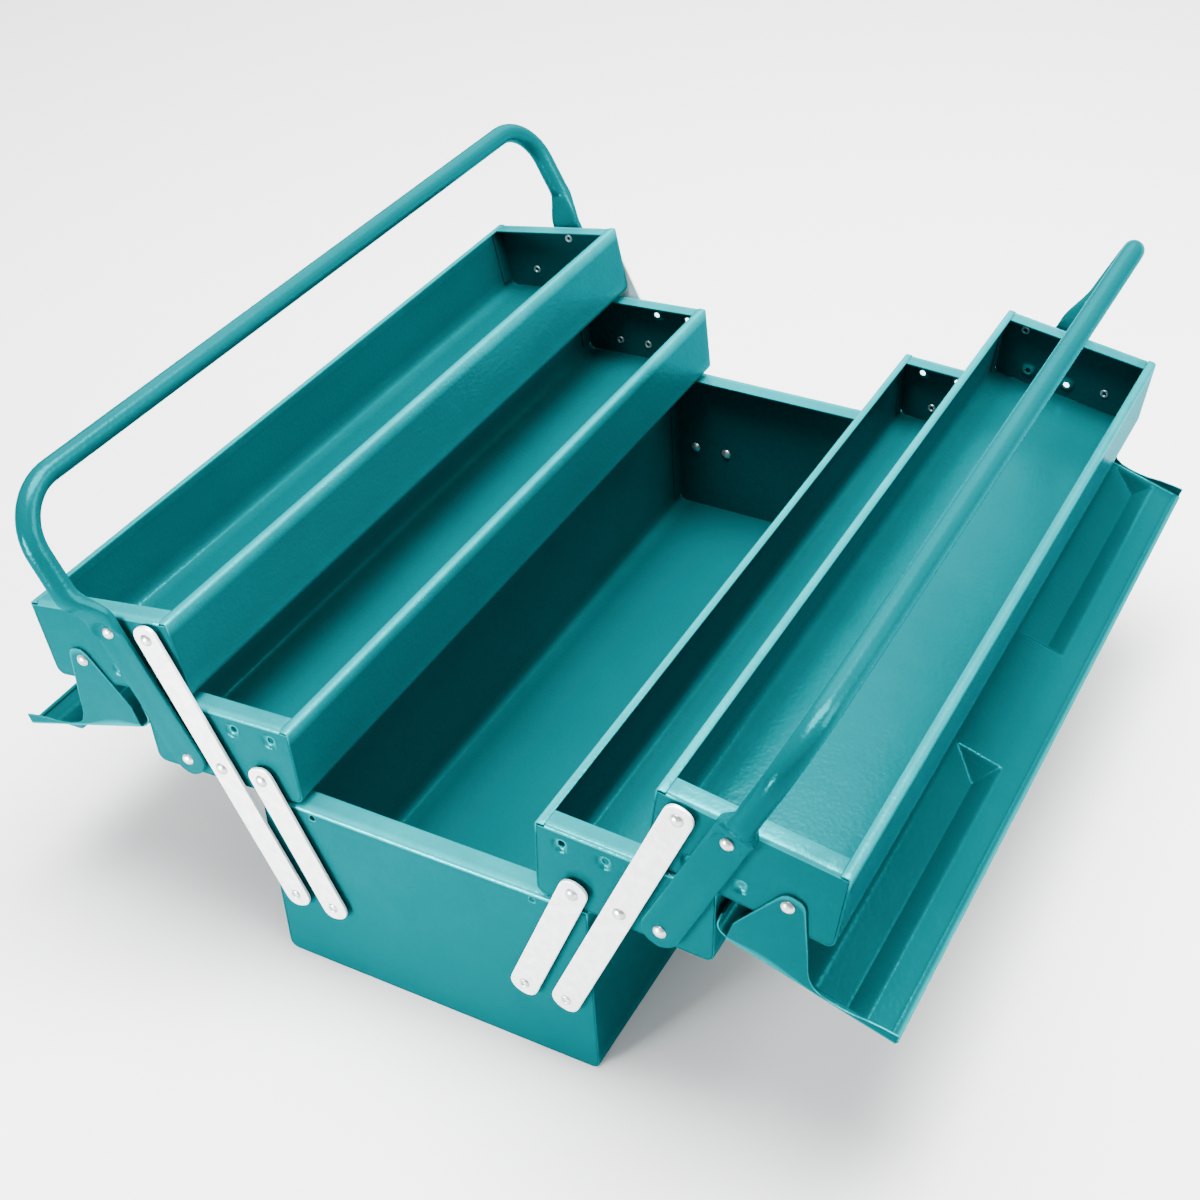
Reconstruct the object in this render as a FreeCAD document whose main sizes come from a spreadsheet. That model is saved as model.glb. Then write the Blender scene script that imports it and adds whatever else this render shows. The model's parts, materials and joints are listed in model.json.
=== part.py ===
import FreeCAD, Part
import math
import os
import Sketcher

# Five-tray cantilever tool box of folded sheet steel, shown with its trays and lids fully open.
#
# Frame: X across the box (the way the trays open), Y along it, Z up, origin under the middle of the base.
# Every tray, lid, link and handle is drawn in its own flat local frame, with the box shut, and a Placement
# then swings it out to the open position that the linkage gives it.

os.makedirs("parts", exist_ok=True)
doc = FreeCAD.newDocument("ToolBox")

# ---------------------------------------------------------------- driving sizes (mm and degrees)
SIZES = [
    ("body_length", 480, "length of the base and of every tray over its end plates"),
    ("base_width", 198, "width of the base bin"),
    ("base_height", 115, "height of the base bin, floor to rim"),
    ("tray_width", 97.4, "width of one tray"),
    ("tray_height", 48, "height of one tray"),
    ("centre_gap", 0.8, "half the gap between left and right trays when shut"),
    ("base_rest_gap", 0.4, "shut clearance, base rim to middle tray"),
    ("tray_rest_gap", 0.9, "shut clearance, middle tray rim to upper tray"),
    ("steel", 0.8, "sheet thickness"),
    ("bend_radius", 5, "outside radius of the long bottom bends"),
    ("side_flange", 5, "inward flange along the long rims"),
    ("end_flange", 11, "inward flange along the short rims of a tray"),
    ("base_end_flange", 13.5, "inward flange along the short rims of the base"),
    ("weld_tab", 12, "depth of an end plate's welded side tabs"),
    ("seam", 0.05, "gap between sheets that are welded face to face"),
    ("link_width", 16, "width of a link strap"),
    ("link_steel", 2, "thickness of a link strap"),
    ("link_standoff", 2, "end plate to the inner face of a strap"),
    ("long_link_lower", 85.2, "long link, base pivot to middle tray pivot"),
    ("long_link_upper", 82.6, "long link, middle tray pivot to upper tray pivot"),
    ("long_pivot_out", 84.5, "long link base pivot, from the centre plane"),
    ("long_pivot_up", 50, "long link base pivot, above the floor"),
    ("short_pivot_out", 60, "short link base pivot, from the centre plane"),
    ("short_pivot_up", 50.5, "short link base pivot, above the floor"),
    ("shut_lean", 24.6, "inward lean of the long link when shut"),
    ("open_lean", 24.3, "outward lean of the long link when open"),
    ("tray_short_pivot", 22.1, "short link pivot, from the middle tray's inner wall"),
    ("tray_handle_pivot", 70.6, "lower handle pivot, from the middle tray's inner wall"),
    ("upper_handle_out", 39.7, "upper handle pivot, from the upper tray's inner wall"),
    ("upper_handle_rise", 1, "upper handle pivot, above the long link's upper pivot"),
    ("spare_hole_out", 38, "outer spare pierced hole, from a tray's inner wall"),
    ("spare_hole_up", 38, "spare pierced holes, above a middle tray's floor"),
    ("spare_hole_low", 11, "spare pierced holes, above an upper tray's floor"),
    ("spare_hole_radius", 2, "spare pierced holes"),
    ("lid_pivot_out", 72.5, "lid pivot, from the upper tray's inner wall"),
    ("lid_pivot_up", 14, "lid pivot, above the upper tray's floor"),
    ("lid_swing", 189.2, "how far a lid turns on its tray from shut to open"),
    ("lid_top", 58.5, "top of a shut lid, above the upper tray's floor"),
    ("lid_lip_low", 45, "lower edge of a lid's back lip, above the upper tray's floor"),
    ("lid_side_gap", 0.35, "end plate of a tray to end plate of a lid"),
    ("lid_back_gap", 0.4, "outer wall of a tray to back lip of a lid"),
    ("lid_back_radius", 7, "outside radius of a lid's back bend"),
    ("lid_hem", 4.4, "width of the folded hem on a lid's free edge"),
    ("rib_inner", 17.5, "a lid's stamped rib, foot nearest the free edge"),
    ("rib_crest", 27, "a lid's stamped rib, crest line"),
    ("rib_outer", 44.5, "a lid's stamped rib, foot nearest the hinge"),
    ("rib_height", 9.8, "height of a stamped rib above the lid"),
    ("rib_start", 51, "a rib's foot nearest mid length"),
    ("rib_end", 237.5, "a rib's foot nearest the end plate"),
    ("rib_start_slope", 12, "run of a rib's end slope nearest mid length"),
    ("rib_end_slope", 6, "run of a rib's end slope nearest the end plate"),
    ("tube_radius", 6.4, "handle tube, outside"),
    ("tube_bore", 5.2, "handle tube, inside"),
    ("handle_reach", 87, "upper handle pivot to the grip's axis"),
    ("handle_plane", 254, "the legs' plane, from mid length"),
    ("handle_bend", 32, "centre-line radius of the handle's bends"),
    ("strap_half_width", 10.2, "half the width of the handle's flattened ends"),
    ("strap_steel", 3, "thickness of the handle's flattened ends"),
    ("strap_rise", 12, "flat stretch above the upper handle pivot"),
    ("flare_rise", 20, "height over which a flattened end grows into the round tube"),
    ("drain_radius", 1.5, "paint drain hole in the handle"),
    ("shank_radius", 2.4, "rivet shank"),
    ("pivot_play", 0.1, "radial play of a strap or lid on its rivet"),
    ("loose_play", 0.45, "radial play at the linkage's two closing pivots"),
    ("head_radius", 3.8, "rivet head"),
    ("head_height", 1.8, "rivet head"),
    ("tail_radius", 3.4, "upset end of a rivet, inside the tray"),
    ("tail_height", 1.2, "upset end of a rivet, inside the tray"),
    ("head_gap", 0.3, "rivet head to strap, and strap to spacer"),
    ("spacer_radius", 4.5, "spacer washer, outside"),
    ("rim_hole_out", 67, "small hole under the base's short rim, from the centre plane"),
    ("rim_hole_down", 5.2, "small hole under the base's short rim, below the rim"),
]

sheet = doc.addObject("Spreadsheet::Sheet", "Sizes")
for row, (alias, number, meaning) in enumerate(SIZES, start=1):
    sheet.set(f"A{row}", meaning)
    sheet.set(f"B{row}", str(number))
    sheet.setAlias(f"B{row}", alias)
doc.recompute()


class Size:
    """A number together with the sheet formula that gives it, so that both follow the same sum."""

    def __init__(self, value, formula=None):
        self.value = float(value)
        self.formula = formula or f"({self.value!r})"

    def _joined(self, other, sign, result):
        return Size(result, f"({self.formula} {sign} {other.formula})")

    def __add__(self, other):
        other = as_size(other)
        return self._joined(other, "+", self.value + other.value)

    def __sub__(self, other):
        other = as_size(other)
        return self._joined(other, "-", self.value - other.value)

    def __mul__(self, other):
        other = as_size(other)
        return self._joined(other, "*", self.value * other.value)

    def __truediv__(self, other):
        other = as_size(other)
        return self._joined(other, "/", self.value / other.value)

    def __neg__(self):
        return self * -1

    __radd__ = __add__
    __rmul__ = __mul__


def as_size(number):
    """Wrap a plain number, and leave a Size as it is."""
    return number if isinstance(number, Size) else Size(number)


def cell(alias):
    """The Size held in one cell of the sheet."""
    return Size(sheet.get(alias), f"Sizes.{alias}")


def bind(feature, **sizes):
    """Set properties of a feature from Sizes, each with its sheet formula."""
    for name, size in sizes.items():
        size = as_size(size)
        setattr(feature, name, size.value)
        feature.setExpression(name, size.formula)


half_length = cell("body_length") / 2
steel = cell("steel")
seam = cell("seam")
tray_width = cell("tray_width")
tray_height = cell("tray_height")
sheet_inset = steel + seam
shank = cell("shank_radius")
strap_face = half_length + cell("link_standoff")
lid_half_length = half_length + cell("lid_side_gap") + steel


# ---------------------------------------------------------------- the linkage, worked out shut and open
class Point:
    """A point of the right-hand linkage in the X-Z plane."""

    def __init__(self, x, z):
        self.x = x
        self.z = z

    def __add__(self, other):
        return Point(self.x + other.x, self.z + other.z)

    def __sub__(self, other):
        return Point(self.x - other.x, self.z - other.z)

    def leaned(self, angle):
        """Turned about the origin, positive angles leaning an upright vector outward."""
        turn = math.radians(angle)
        return Point(self.x * math.cos(turn) + self.z * math.sin(turn),
                     self.z * math.cos(turn) - self.x * math.sin(turn))

    def length(self):
        return math.hypot(self.x, self.z)

    def lean(self):
        """The angle between this vector and upright, positive outward."""
        return math.degrees(math.atan2(self.x, self.z))


def upright(length, lean):
    """A vector of a given length that leans outward by a given angle."""
    return Point(0, length).leaned(lean)


def closing_point(centre_a, radius_a, centre_b, radius_b, near):
    """Where two circles cross, taking the crossing nearest to a given point."""
    gap = centre_b - centre_a
    along = (radius_a ** 2 - radius_b ** 2 + gap.length() ** 2) / (2 * gap.length())
    across = math.sqrt(radius_a ** 2 - along ** 2)
    foot = centre_a + Point(gap.x * along / gap.length(), gap.z * along / gap.length())
    step = Point(-gap.z * across / gap.length(), gap.x * across / gap.length())
    return min((foot + step, foot - step), key=lambda point: (point - near).length())


number = sheet.get
shut_middle_origin = Point(number("centre_gap"), number("base_height") + number("base_rest_gap"))
shut_upper_origin = shut_middle_origin + Point(0, number("tray_height") + number("tray_rest_gap"))
long_base = Point(number("long_pivot_out"), number("long_pivot_up"))
short_base = Point(number("short_pivot_out"), number("short_pivot_up"))
long_link_length = number("long_link_lower") + number("long_link_upper")

shut_long_middle = long_base + upright(number("long_link_lower"), -number("shut_lean"))
shut_long_upper = long_base + upright(long_link_length, -number("shut_lean"))
pivot_row = shut_long_middle.z - shut_middle_origin.z
shut_short = shut_middle_origin + Point(number("tray_short_pivot"), pivot_row)
shut_handle_low = shut_middle_origin + Point(number("tray_handle_pivot"), pivot_row)
shut_handle_high = Point(shut_upper_origin.x + number("upper_handle_out"),
                         shut_long_upper.z + number("upper_handle_rise"))
short_link_length = (shut_short - short_base).length()
handle_link_length = (shut_handle_high - shut_handle_low).length()

open_long_middle = long_base + upright(number("long_link_lower"), number("open_lean"))
open_long_upper = long_base + upright(long_link_length, number("open_lean"))
open_short = closing_point(short_base, short_link_length,
                           open_long_middle, (shut_long_middle - shut_short).length(),
                           open_long_middle + (shut_short - shut_long_middle))
middle_tilt = (open_long_middle - open_short).lean() - (shut_long_middle - shut_short).lean()
open_handle_low = open_long_middle + (shut_handle_low - shut_long_middle).leaned(middle_tilt)
open_handle_high = closing_point(open_handle_low, handle_link_length,
                                 open_long_upper, (shut_handle_high - shut_long_upper).length(),
                                 open_long_upper + (shut_handle_high - shut_long_upper))
upper_tilt = ((open_handle_high - open_long_upper).lean()
              - (shut_handle_high - shut_long_upper).lean())
open_middle_origin = open_long_middle + (shut_middle_origin - shut_long_middle).leaned(middle_tilt)
open_upper_origin = open_long_upper + (shut_upper_origin - shut_long_upper).leaned(upper_tilt)
short_link_lean = (open_short - short_base).lean()
handle_lean = (open_handle_high - open_handle_low).lean()
lid_pivot = Point(number("lid_pivot_out"), number("lid_pivot_up"))
open_lid_pivot = open_upper_origin + lid_pivot.leaned(upper_tilt)
lid_angle = upper_tilt + number("lid_swing")
open_lid_origin = open_lid_pivot - lid_pivot.leaned(lid_angle)

# pivots in a tray's own frame, as (out from the inner wall, up from the floor)
middle_pivots = {"short": shut_short - shut_middle_origin,
                 "long": shut_long_middle - shut_middle_origin,
                 "handle": shut_handle_low - shut_middle_origin}
upper_pivots = {"long": shut_long_upper - shut_upper_origin,
                "handle": shut_handle_high - shut_upper_origin,
                "lid": lid_pivot}
base_pivots = {"short": short_base, "long": long_base}


def swung(side, origin, lean):
    """The Placement that carries a local frame out to an origin and lean on one side of the box."""
    return FreeCAD.Placement(FreeCAD.Vector(side * origin.x, 0, origin.z),
                             FreeCAD.Rotation(FreeCAD.Vector(0, 1, 0), side * lean))


# ---------------------------------------------------------------- sketch and feature helpers
ROOT_POINT = (-1, 1)


def new_body(name):
    body = doc.addObject("PartDesign::Body", name)
    body.Label = name
    return body


def new_sketch(body, role, offset=0):
    """A sketch on one of the body's origin planes, moved along the plane's normal."""
    plane = next(item for item in body.Origin.OriginFeatures if item.Role == role)
    sketch = body.newObject("Sketcher::SketchObject", "Sketch")
    sketch.AttachmentSupport = [(plane, "")]
    sketch.MapMode = "FlatFace"
    offset = as_size(offset)
    sketch.AttachmentOffset = FreeCAD.Placement(FreeCAD.Vector(0, 0, offset.value), FreeCAD.Rotation())
    sketch.setExpression("AttachmentOffset.Base.z", offset.formula)
    return sketch


def dimension(sketch, kind, targets, size):
    """Add one driving dimension and tie it to the sheet."""
    size = as_size(size)
    index = sketch.addConstraint(Sketcher.Constraint(kind, *targets, size.value))
    name = f"{kind}{index}"
    sketch.renameConstraint(index, name)
    sketch.setExpression(f"Constraints.{name}", size.formula)


def pin_point(sketch, geometry, end, across, up):
    """Dimension one point of the geometry from the sketch's origin."""
    dimension(sketch, "DistanceX", (*ROOT_POINT, geometry, end), across)
    dimension(sketch, "DistanceY", (*ROOT_POINT, geometry, end), up)


def polygon(sketch, corners):
    """Draw a closed outline through corners given as pairs of Sizes."""
    corners = [(as_size(across), as_size(up)) for across, up in corners]
    points = [FreeCAD.Vector(across.value, up.value, 0) for across, up in corners]
    first = sketch.GeometryCount
    count = len(points)
    sketch.addGeometry([Part.LineSegment(points[i], points[(i + 1) % count]) for i in range(count)])
    for i in range(count):
        sketch.addConstraint(Sketcher.Constraint("Coincident", first + i, 2, first + (i + 1) % count, 1))
    for i, (across, up) in enumerate(corners):
        pin_point(sketch, first + i, 1, across, up)


def circle(sketch, across, up, radius):
    """Draw a circle with its centre and radius dimensioned."""
    across, up, radius = as_size(across), as_size(up), as_size(radius)
    centre = FreeCAD.Vector(across.value, up.value, 0)
    index = sketch.addGeometry(Part.Circle(centre, FreeCAD.Vector(0, 0, 1), radius.value))
    pin_point(sketch, index, 3, across, up)
    dimension(sketch, "Radius", (index,), radius)


def pad(body, sketch, length):
    feature = body.newObject("PartDesign::Pad", "Pad")
    feature.Profile = sketch
    bind(feature, Length=length)
    doc.recompute()
    return feature


def pierce(body, sketch):
    """Cut a sketch through everything, both ways, and make sure that it removed metal."""
    before = body.Shape.Volume
    feature = body.newObject("PartDesign::Pocket", "Holes")
    feature.Profile = sketch
    feature.Type = "ThroughAll"
    feature.SideType = "Symmetric"
    doc.recompute()
    if body.Shape.Volume >= before:
        raise RuntimeError(f"{body.Label}: a cut removed nothing")


def round_edges(body, corners, radius):
    """Round the edges that run along Y through corners given as (x, z) pairs of Sizes."""
    base = body.Tip
    wanted = [(as_size(x).value, as_size(z).value) for x, z in corners]
    names = []
    for index, edge in enumerate(base.Shape.Edges, start=1):
        ends = [(vertex.X, vertex.Z) for vertex in edge.Vertexes]
        for x, z in wanted:
            if len(ends) == 2 and all(math.hypot(end[0] - x, end[1] - z) < 0.01 for end in ends):
                names.append(f"Edge{index}")
    if len(names) < len(wanted):
        raise RuntimeError(f"{body.Label}: a corner to round was not found")
    feature = body.newObject("PartDesign::Fillet", "Bends")
    feature.Base = (base, names)
    bind(feature, Radius=radius)
    doc.recompute()


def end_offset(end, depth):
    """Where a pad of a given depth starts so that it finishes flush with one end of a body.

    Sketches on the XZ plane face -Y and pad towards -Y, so the front end is -1 and the back end +1.
    """
    return half_length - depth if end < 0 else -half_length


# ---------------------------------------------------------------- pans: a floor and two long walls, folded
def make_pan(name, left, right, height, flange, placement):
    """A floor with two long walls whose rims are turned inward, folded from one sheet."""
    body = new_body(name)
    way = 1 if right.value > left.value else -1
    sketch = new_sketch(body, "XZ_Plane", -half_length)
    polygon(sketch, [
        (left + flange * way, height), (left, height), (left, 0), (right, 0), (right, height),
        (right - flange * way, height), (right - flange * way, height - steel),
        (right - steel * way, height - steel), (right - steel * way, steel),
        (left + steel * way, steel), (left + steel * way, height - steel),
        (left + flange * way, height - steel)])
    pad(body, sketch, half_length * 2)
    radius = cell("bend_radius")
    round_edges(body, [(left, 0), (right, 0)], radius)
    round_edges(body, [(left + steel * way, steel), (right - steel * way, steel)], radius - steel)
    body.Placement = placement


def make_end_plate(name, end, left, right, height, flange, depth, holes, placement):
    """A flat end with its rim and two weld tabs turned inward, set inside the long walls."""
    body = new_body(name)
    way = 1 if right.value > left.value else -1
    near, far = left + sheet_inset * way, right - sheet_inset * way
    near_rim, far_rim = left + (flange + seam) * way, right - (flange + seam) * way
    rim_low = height - sheet_inset
    plate = new_sketch(body, "XZ_Plane", end_offset(end, steel))
    polygon(plate, [(near, sheet_inset), (far, sheet_inset), (far, rim_low), (far_rim, rim_low),
                    (far_rim, height), (near_rim, height), (near_rim, rim_low), (near, rim_low)])
    pad(body, plate, steel)
    round_edges(body, [(near, sheet_inset), (far, sheet_inset)], cell("bend_radius") - steel)
    rim = new_sketch(body, "XZ_Plane", end_offset(end, depth))
    polygon(rim, [(near_rim, height - steel), (far_rim, height - steel), (far_rim, height), (near_rim, height)])
    pad(body, rim, depth)
    tab_low, tab_high = sheet_inset + cell("bend_radius"), rim_low - steel
    for edge, inward in ((near, way), (far, -way)):
        tab = new_sketch(body, "XZ_Plane", end_offset(end, cell("weld_tab")))
        polygon(tab, [(edge, tab_low), (edge + steel * inward, tab_low),
                      (edge + steel * inward, tab_high), (edge, tab_high)])
        pad(body, tab, cell("weld_tab"))
    punched = new_sketch(body, "XZ_Plane", end_offset(end, steel))
    for x, z, radius in holes:
        circle(punched, x, z, radius)
    pierce(body, punched)
    body.Placement = placement


ENDS = {"front": -1, "back": 1}
SIDES = {"left": -1, "right": 1}
here = FreeCAD.Placement()
rivet_hole = shank + seam

# ---------------------------------------------------------------- base bin
half_width = cell("base_width") / 2
make_pan("base_pan", -half_width, half_width, cell("base_height"), cell("side_flange"), here)
base_holes = [(side * pivot.x, pivot.z, rivet_hole) for side in SIDES.values() for pivot in base_pivots.values()]
base_holes += [(cell("rim_hole_out") * side, cell("base_height") - cell("rim_hole_down"),
                cell("spare_hole_radius")) for side in SIDES.values()]
for end_name, end in ENDS.items():
    make_end_plate(f"base_{end_name}_plate", end, -half_width, half_width, cell("base_height"),
                   cell("side_flange"), cell("base_end_flange"), base_holes, here)

# ---------------------------------------------------------------- trays
TRAYS = {
    "middle": (open_middle_origin, middle_tilt, middle_pivots,
               [(upper_pivots["long"].x, cell("spare_hole_up")),
                (cell("spare_hole_out"), cell("spare_hole_up"))]),
    "upper": (open_upper_origin, upper_tilt, upper_pivots,
              [(middle_pivots["short"].x, cell("spare_hole_low")),
               (middle_pivots["long"].x, cell("spare_hole_low"))]),
}
for side_name, side in SIDES.items():
    for tray_name, (origin, tilt, pivots, spares) in TRAYS.items():
        placement = swung(side, origin, tilt)
        make_pan(f"{side_name}_{tray_name}_pan", as_size(0), tray_width * side, tray_height,
                 cell("side_flange"), placement)
        holes = [(side * pivot.x, pivot.z, rivet_hole) for pivot in pivots.values()]
        holes += [(side * as_size(x), z, cell("spare_hole_radius")) for x, z in spares]
        for end_name, end in ENDS.items():
            make_end_plate(f"{side_name}_{tray_name}_{end_name}_plate", end, as_size(0), tray_width * side,
                           tray_height, cell("side_flange"), cell("end_flange"), holes, placement)


# ---------------------------------------------------------------- link straps
def make_strap(name, end, length, holes, placement):
    """A round-ended flat strap standing up from its lower pivot, with a hole at each pivot."""
    body = new_body(name)
    radius = cell("link_width") / 2
    length = as_size(length)
    thickness = cell("link_steel")
    offset = strap_face if end < 0 else -(strap_face + thickness)
    sketch = new_sketch(body, "XZ_Plane", offset)
    corners = [FreeCAD.Vector(radius.value, 0, 0), FreeCAD.Vector(radius.value, length.value, 0),
               FreeCAD.Vector(-radius.value, length.value, 0), FreeCAD.Vector(-radius.value, 0, 0)]
    top = FreeCAD.Vector(0, length.value + radius.value, 0)
    bottom = FreeCAD.Vector(0, -radius.value, 0)
    sketch.addGeometry([Part.LineSegment(corners[0], corners[1]), Part.Arc(corners[1], top, corners[2]),
                        Part.LineSegment(corners[2], corners[3]), Part.Arc(corners[3], bottom, corners[0])])
    for first, first_end, second, second_end in ((0, 2, 1, 1), (1, 2, 2, 1), (2, 2, 3, 1), (3, 2, 0, 1)):
        sketch.addConstraint(Sketcher.Constraint("Coincident", first, first_end, second, second_end))
    pin_point(sketch, 0, 1, radius, 0)
    pin_point(sketch, 0, 2, radius, length)
    pin_point(sketch, 2, 1, -radius, length)
    pin_point(sketch, 2, 2, -radius, 0)
    dimension(sketch, "DistanceY", (*ROOT_POINT, 1, 3), length)
    dimension(sketch, "DistanceY", (*ROOT_POINT, 3, 3), 0)
    for height, hole in holes:
        circle(sketch, 0, height, hole)
    pad(body, sketch, thickness)
    body.Placement = placement


pivot_hole = shank + cell("pivot_play")
loose_hole = shank + cell("loose_play")
lower, upper = cell("long_link_lower"), cell("long_link_upper")
for side_name, side in SIDES.items():
    for end_name, end in ENDS.items():
        make_strap(f"{side_name}_{end_name}_long_link", end, lower + upper,
                   [(0, pivot_hole), (lower, pivot_hole), (lower + upper, pivot_hole)],
                   swung(side, long_base, number("open_lean")))
        make_strap(f"{side_name}_{end_name}_short_link", end, short_link_length,
                   [(0, pivot_hole), (short_link_length, loose_hole)],
                   swung(side, short_base, short_link_lean))


# ---------------------------------------------------------------- lids
def make_lid(name, side, placement):
    """A lid pressed from one sheet: hemmed panel, back lip, two stamped ribs and two hinge ears.

    Drawn shut, in its tray's frame. A rib is a long hollow roof with sloping ends.
    """
    body = new_body(name)
    top, under = cell("lid_top"), cell("lid_top") - steel
    back = tray_width + cell("lid_back_gap") + steel
    hem_low = under - steel
    profile = new_sketch(body, "XZ_Plane", -lid_half_length)
    polygon(profile, [(x * side, z) for x, z in (
        (as_size(0), top), (back, top), (back, cell("lid_lip_low")), (back - steel, cell("lid_lip_low")),
        (back - steel, under), (cell("lid_hem"), under), (cell("lid_hem"), hem_low), (as_size(0), hem_low))])
    pad(body, profile, lid_half_length * 2)
    round_edges(body, [(back * side, top)], cell("lid_back_radius"))
    round_edges(body, [((back - steel) * side, under)], cell("lid_back_radius") - steel)

    ear = [(0, 51.3), (16, 53.2), (27, 56.2), (41, 56.9), (49.5, 54.6), (54.2, 47.5), (64.5, 6.5), (77.1, 6.5),
           (92, 45.6), (92, 53)]
    for end in ENDS.values():
        offset = (lid_half_length - steel) if end < 0 else -lid_half_length
        plate = new_sketch(body, "XZ_Plane", offset)
        outline = [(as_size(side * x), as_size(z)) for x, z in ear]
        outline += [(as_size(side * 92), under + steel / 2), (as_size(0), under + steel / 2)]
        polygon(plate, outline)
        pad(body, plate, steel)
    round_edges(body, [(side * 64.5, 6.5), (side * 77.1, 6.5)], 5.5)
    pivot_cut = new_sketch(body, "XZ_Plane")
    circle(pivot_cut, cell("lid_pivot_out") * side, cell("lid_pivot_up"), pivot_hole)
    pierce(body, pivot_cut)

    crest = as_size(0.6)
    for end in ENDS.values():
        for kind, base, height, shrink in (("Additive", top, cell("rib_height"), as_size(0)),
                                           ("Subtractive", under, cell("rib_height"), steel)):
            rings = []
            for level, x_low, x_high, y_low, y_high in (
                    (base, cell("rib_inner") + shrink, cell("rib_outer") - shrink * 1.6,
                     cell("rib_start") + shrink, cell("rib_end") - shrink),
                    (base + height, cell("rib_crest") - crest / 2, cell("rib_crest") + crest / 2,
                     cell("rib_start") + cell("rib_start_slope"), cell("rib_end") - cell("rib_end_slope"))):
                ring = new_sketch(body, "XY_Plane", level)
                polygon(ring, [(x_low * side, y_low * end), (x_high * side, y_low * end),
                               (x_high * side, y_high * end), (x_low * side, y_high * end)])
                rings.append(ring)
            loft = body.newObject(f"PartDesign::{kind}Loft", "Rib")
            loft.Profile = rings[0]
            loft.Sections = [rings[1]]
            loft.Ruled = True
            doc.recompute()
    body.Placement = placement


for side_name, side in SIDES.items():
    make_lid(f"{side_name}_lid", side, swung(side, open_lid_origin, lid_angle))


# ---------------------------------------------------------------- Part-workbench helpers
def primitive(kind, name, position, rotation=FreeCAD.Rotation(), **sizes):
    """A Part primitive with every size bound to the sheet."""
    item = doc.addObject(f"Part::{kind}", name)
    bind(item, **sizes)
    item.Placement = FreeCAD.Placement(FreeCAD.Vector(*(as_size(part).value for part in position)), rotation)
    return item


def fuse(name, shapes):
    result = doc.addObject("Part::MultiFuse", name)
    result.Shapes = shapes
    return result


def cut(name, base, tool):
    result = doc.addObject("Part::Cut", name)
    result.Base = base
    result.Tool = tool
    return result


def facing(end):
    """Turns a primitive's +Z axis outward through one end of the box."""
    return FreeCAD.Rotation(FreeCAD.Vector(1, 0, 0), -90 * end)


# ---------------------------------------------------------------- handles
def make_handle(name, placement):
    """A tube bent into a bail, each end flattened into a strap that is pinned to two trays.

    Drawn upright from its lower pivots. The bore stays open through a drain hole under the grip.
    """
    pivot = as_size(handle_link_length)
    flat_top = pivot + cell("strap_rise")
    leg_low = flat_top + cell("flare_rise")
    grip_z = pivot + cell("handle_reach")
    bend = cell("handle_bend")
    bend_z = grip_z - bend
    plane = cell("handle_plane")
    grip_half = plane - bend
    strap_mid = strap_face + cell("strap_steel") / 2
    half_strap = cell("strap_half_width")
    solids, bores, holes = [], [], []
    for end in ENDS.values():
        inner = strap_face * end if end > 0 else (strap_face + cell("strap_steel")) * end
        solids.append(primitive("Box", "StrapFlat", (-half_strap, inner, 0), Length=half_strap * 2,
                                Width=cell("strap_steel"), Height=flat_top))
        solids.append(primitive("Cylinder", "StrapEnd", (0, strap_face * end, 0), facing(end),
                                Radius=half_strap, Height=cell("strap_steel")))
        foot = primitive("Ellipse", "FlareFoot", (0, strap_mid * end, flat_top),
                         MajorRadius=half_strap, MinorRadius=cell("strap_steel") / 2)
        mouth = primitive("Ellipse", "FlareMouth", (0, plane * end, leg_low),
                          MajorRadius=cell("tube_radius"), MinorRadius=cell("tube_radius"))
        flare = doc.addObject("Part::Loft", "Flare")
        flare.Sections = [foot, mouth]
        flare.Solid = True
        solids.append(flare)
        elbow_turn = FreeCAD.Rotation(FreeCAD.Vector(0, 1, 0), 90 * end)
        for group, radius in ((solids, cell("tube_radius")), (bores, cell("tube_bore"))):
            group.append(primitive("Cylinder", "Leg", (0, plane * end, leg_low),
                                   Radius=radius, Height=bend_z - leg_low))
            elbow = primitive("Torus", "Elbow", (0, grip_half * end, bend_z), Radius1=bend, Radius2=radius,
                              Angle3=90)
            x_axis = FreeCAD.Vector(0, end, 0)
            z_axis = FreeCAD.Vector(end, 0, 0)
            elbow.Placement.Rotation = FreeCAD.Rotation(x_axis, z_axis.cross(x_axis), z_axis, "ZXY")
            group.append(elbow)
        for height, hole in ((0, loose_hole), (pivot, pivot_hole)):
            holes.append(primitive("Cylinder", "StrapHole", (0, (strap_face - 1) * end, height), facing(end),
                                   Radius=hole, Height=cell("strap_steel") + 2))
    for group, radius in ((solids, cell("tube_radius")), (bores, cell("tube_bore"))):
        group.append(primitive("Cylinder", "Grip", (0, -grip_half, grip_z), facing(1),
                               Radius=radius, Height=grip_half * 2))
    bores.append(primitive("Cylinder", "Drain", (0, 0, grip_z - cell("tube_radius") * 1.5),
                           Radius=cell("drain_radius"), Height=cell("tube_radius")))
    body = cut(name, fuse("Bail", solids), fuse("BoreAndHoles", bores + holes))
    body.Label = name
    body.Placement = placement
    doc.recompute()


for side_name, side in SIDES.items():
    make_handle(f"{side_name}_handle", swung(side, open_handle_low, handle_lean))


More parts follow.
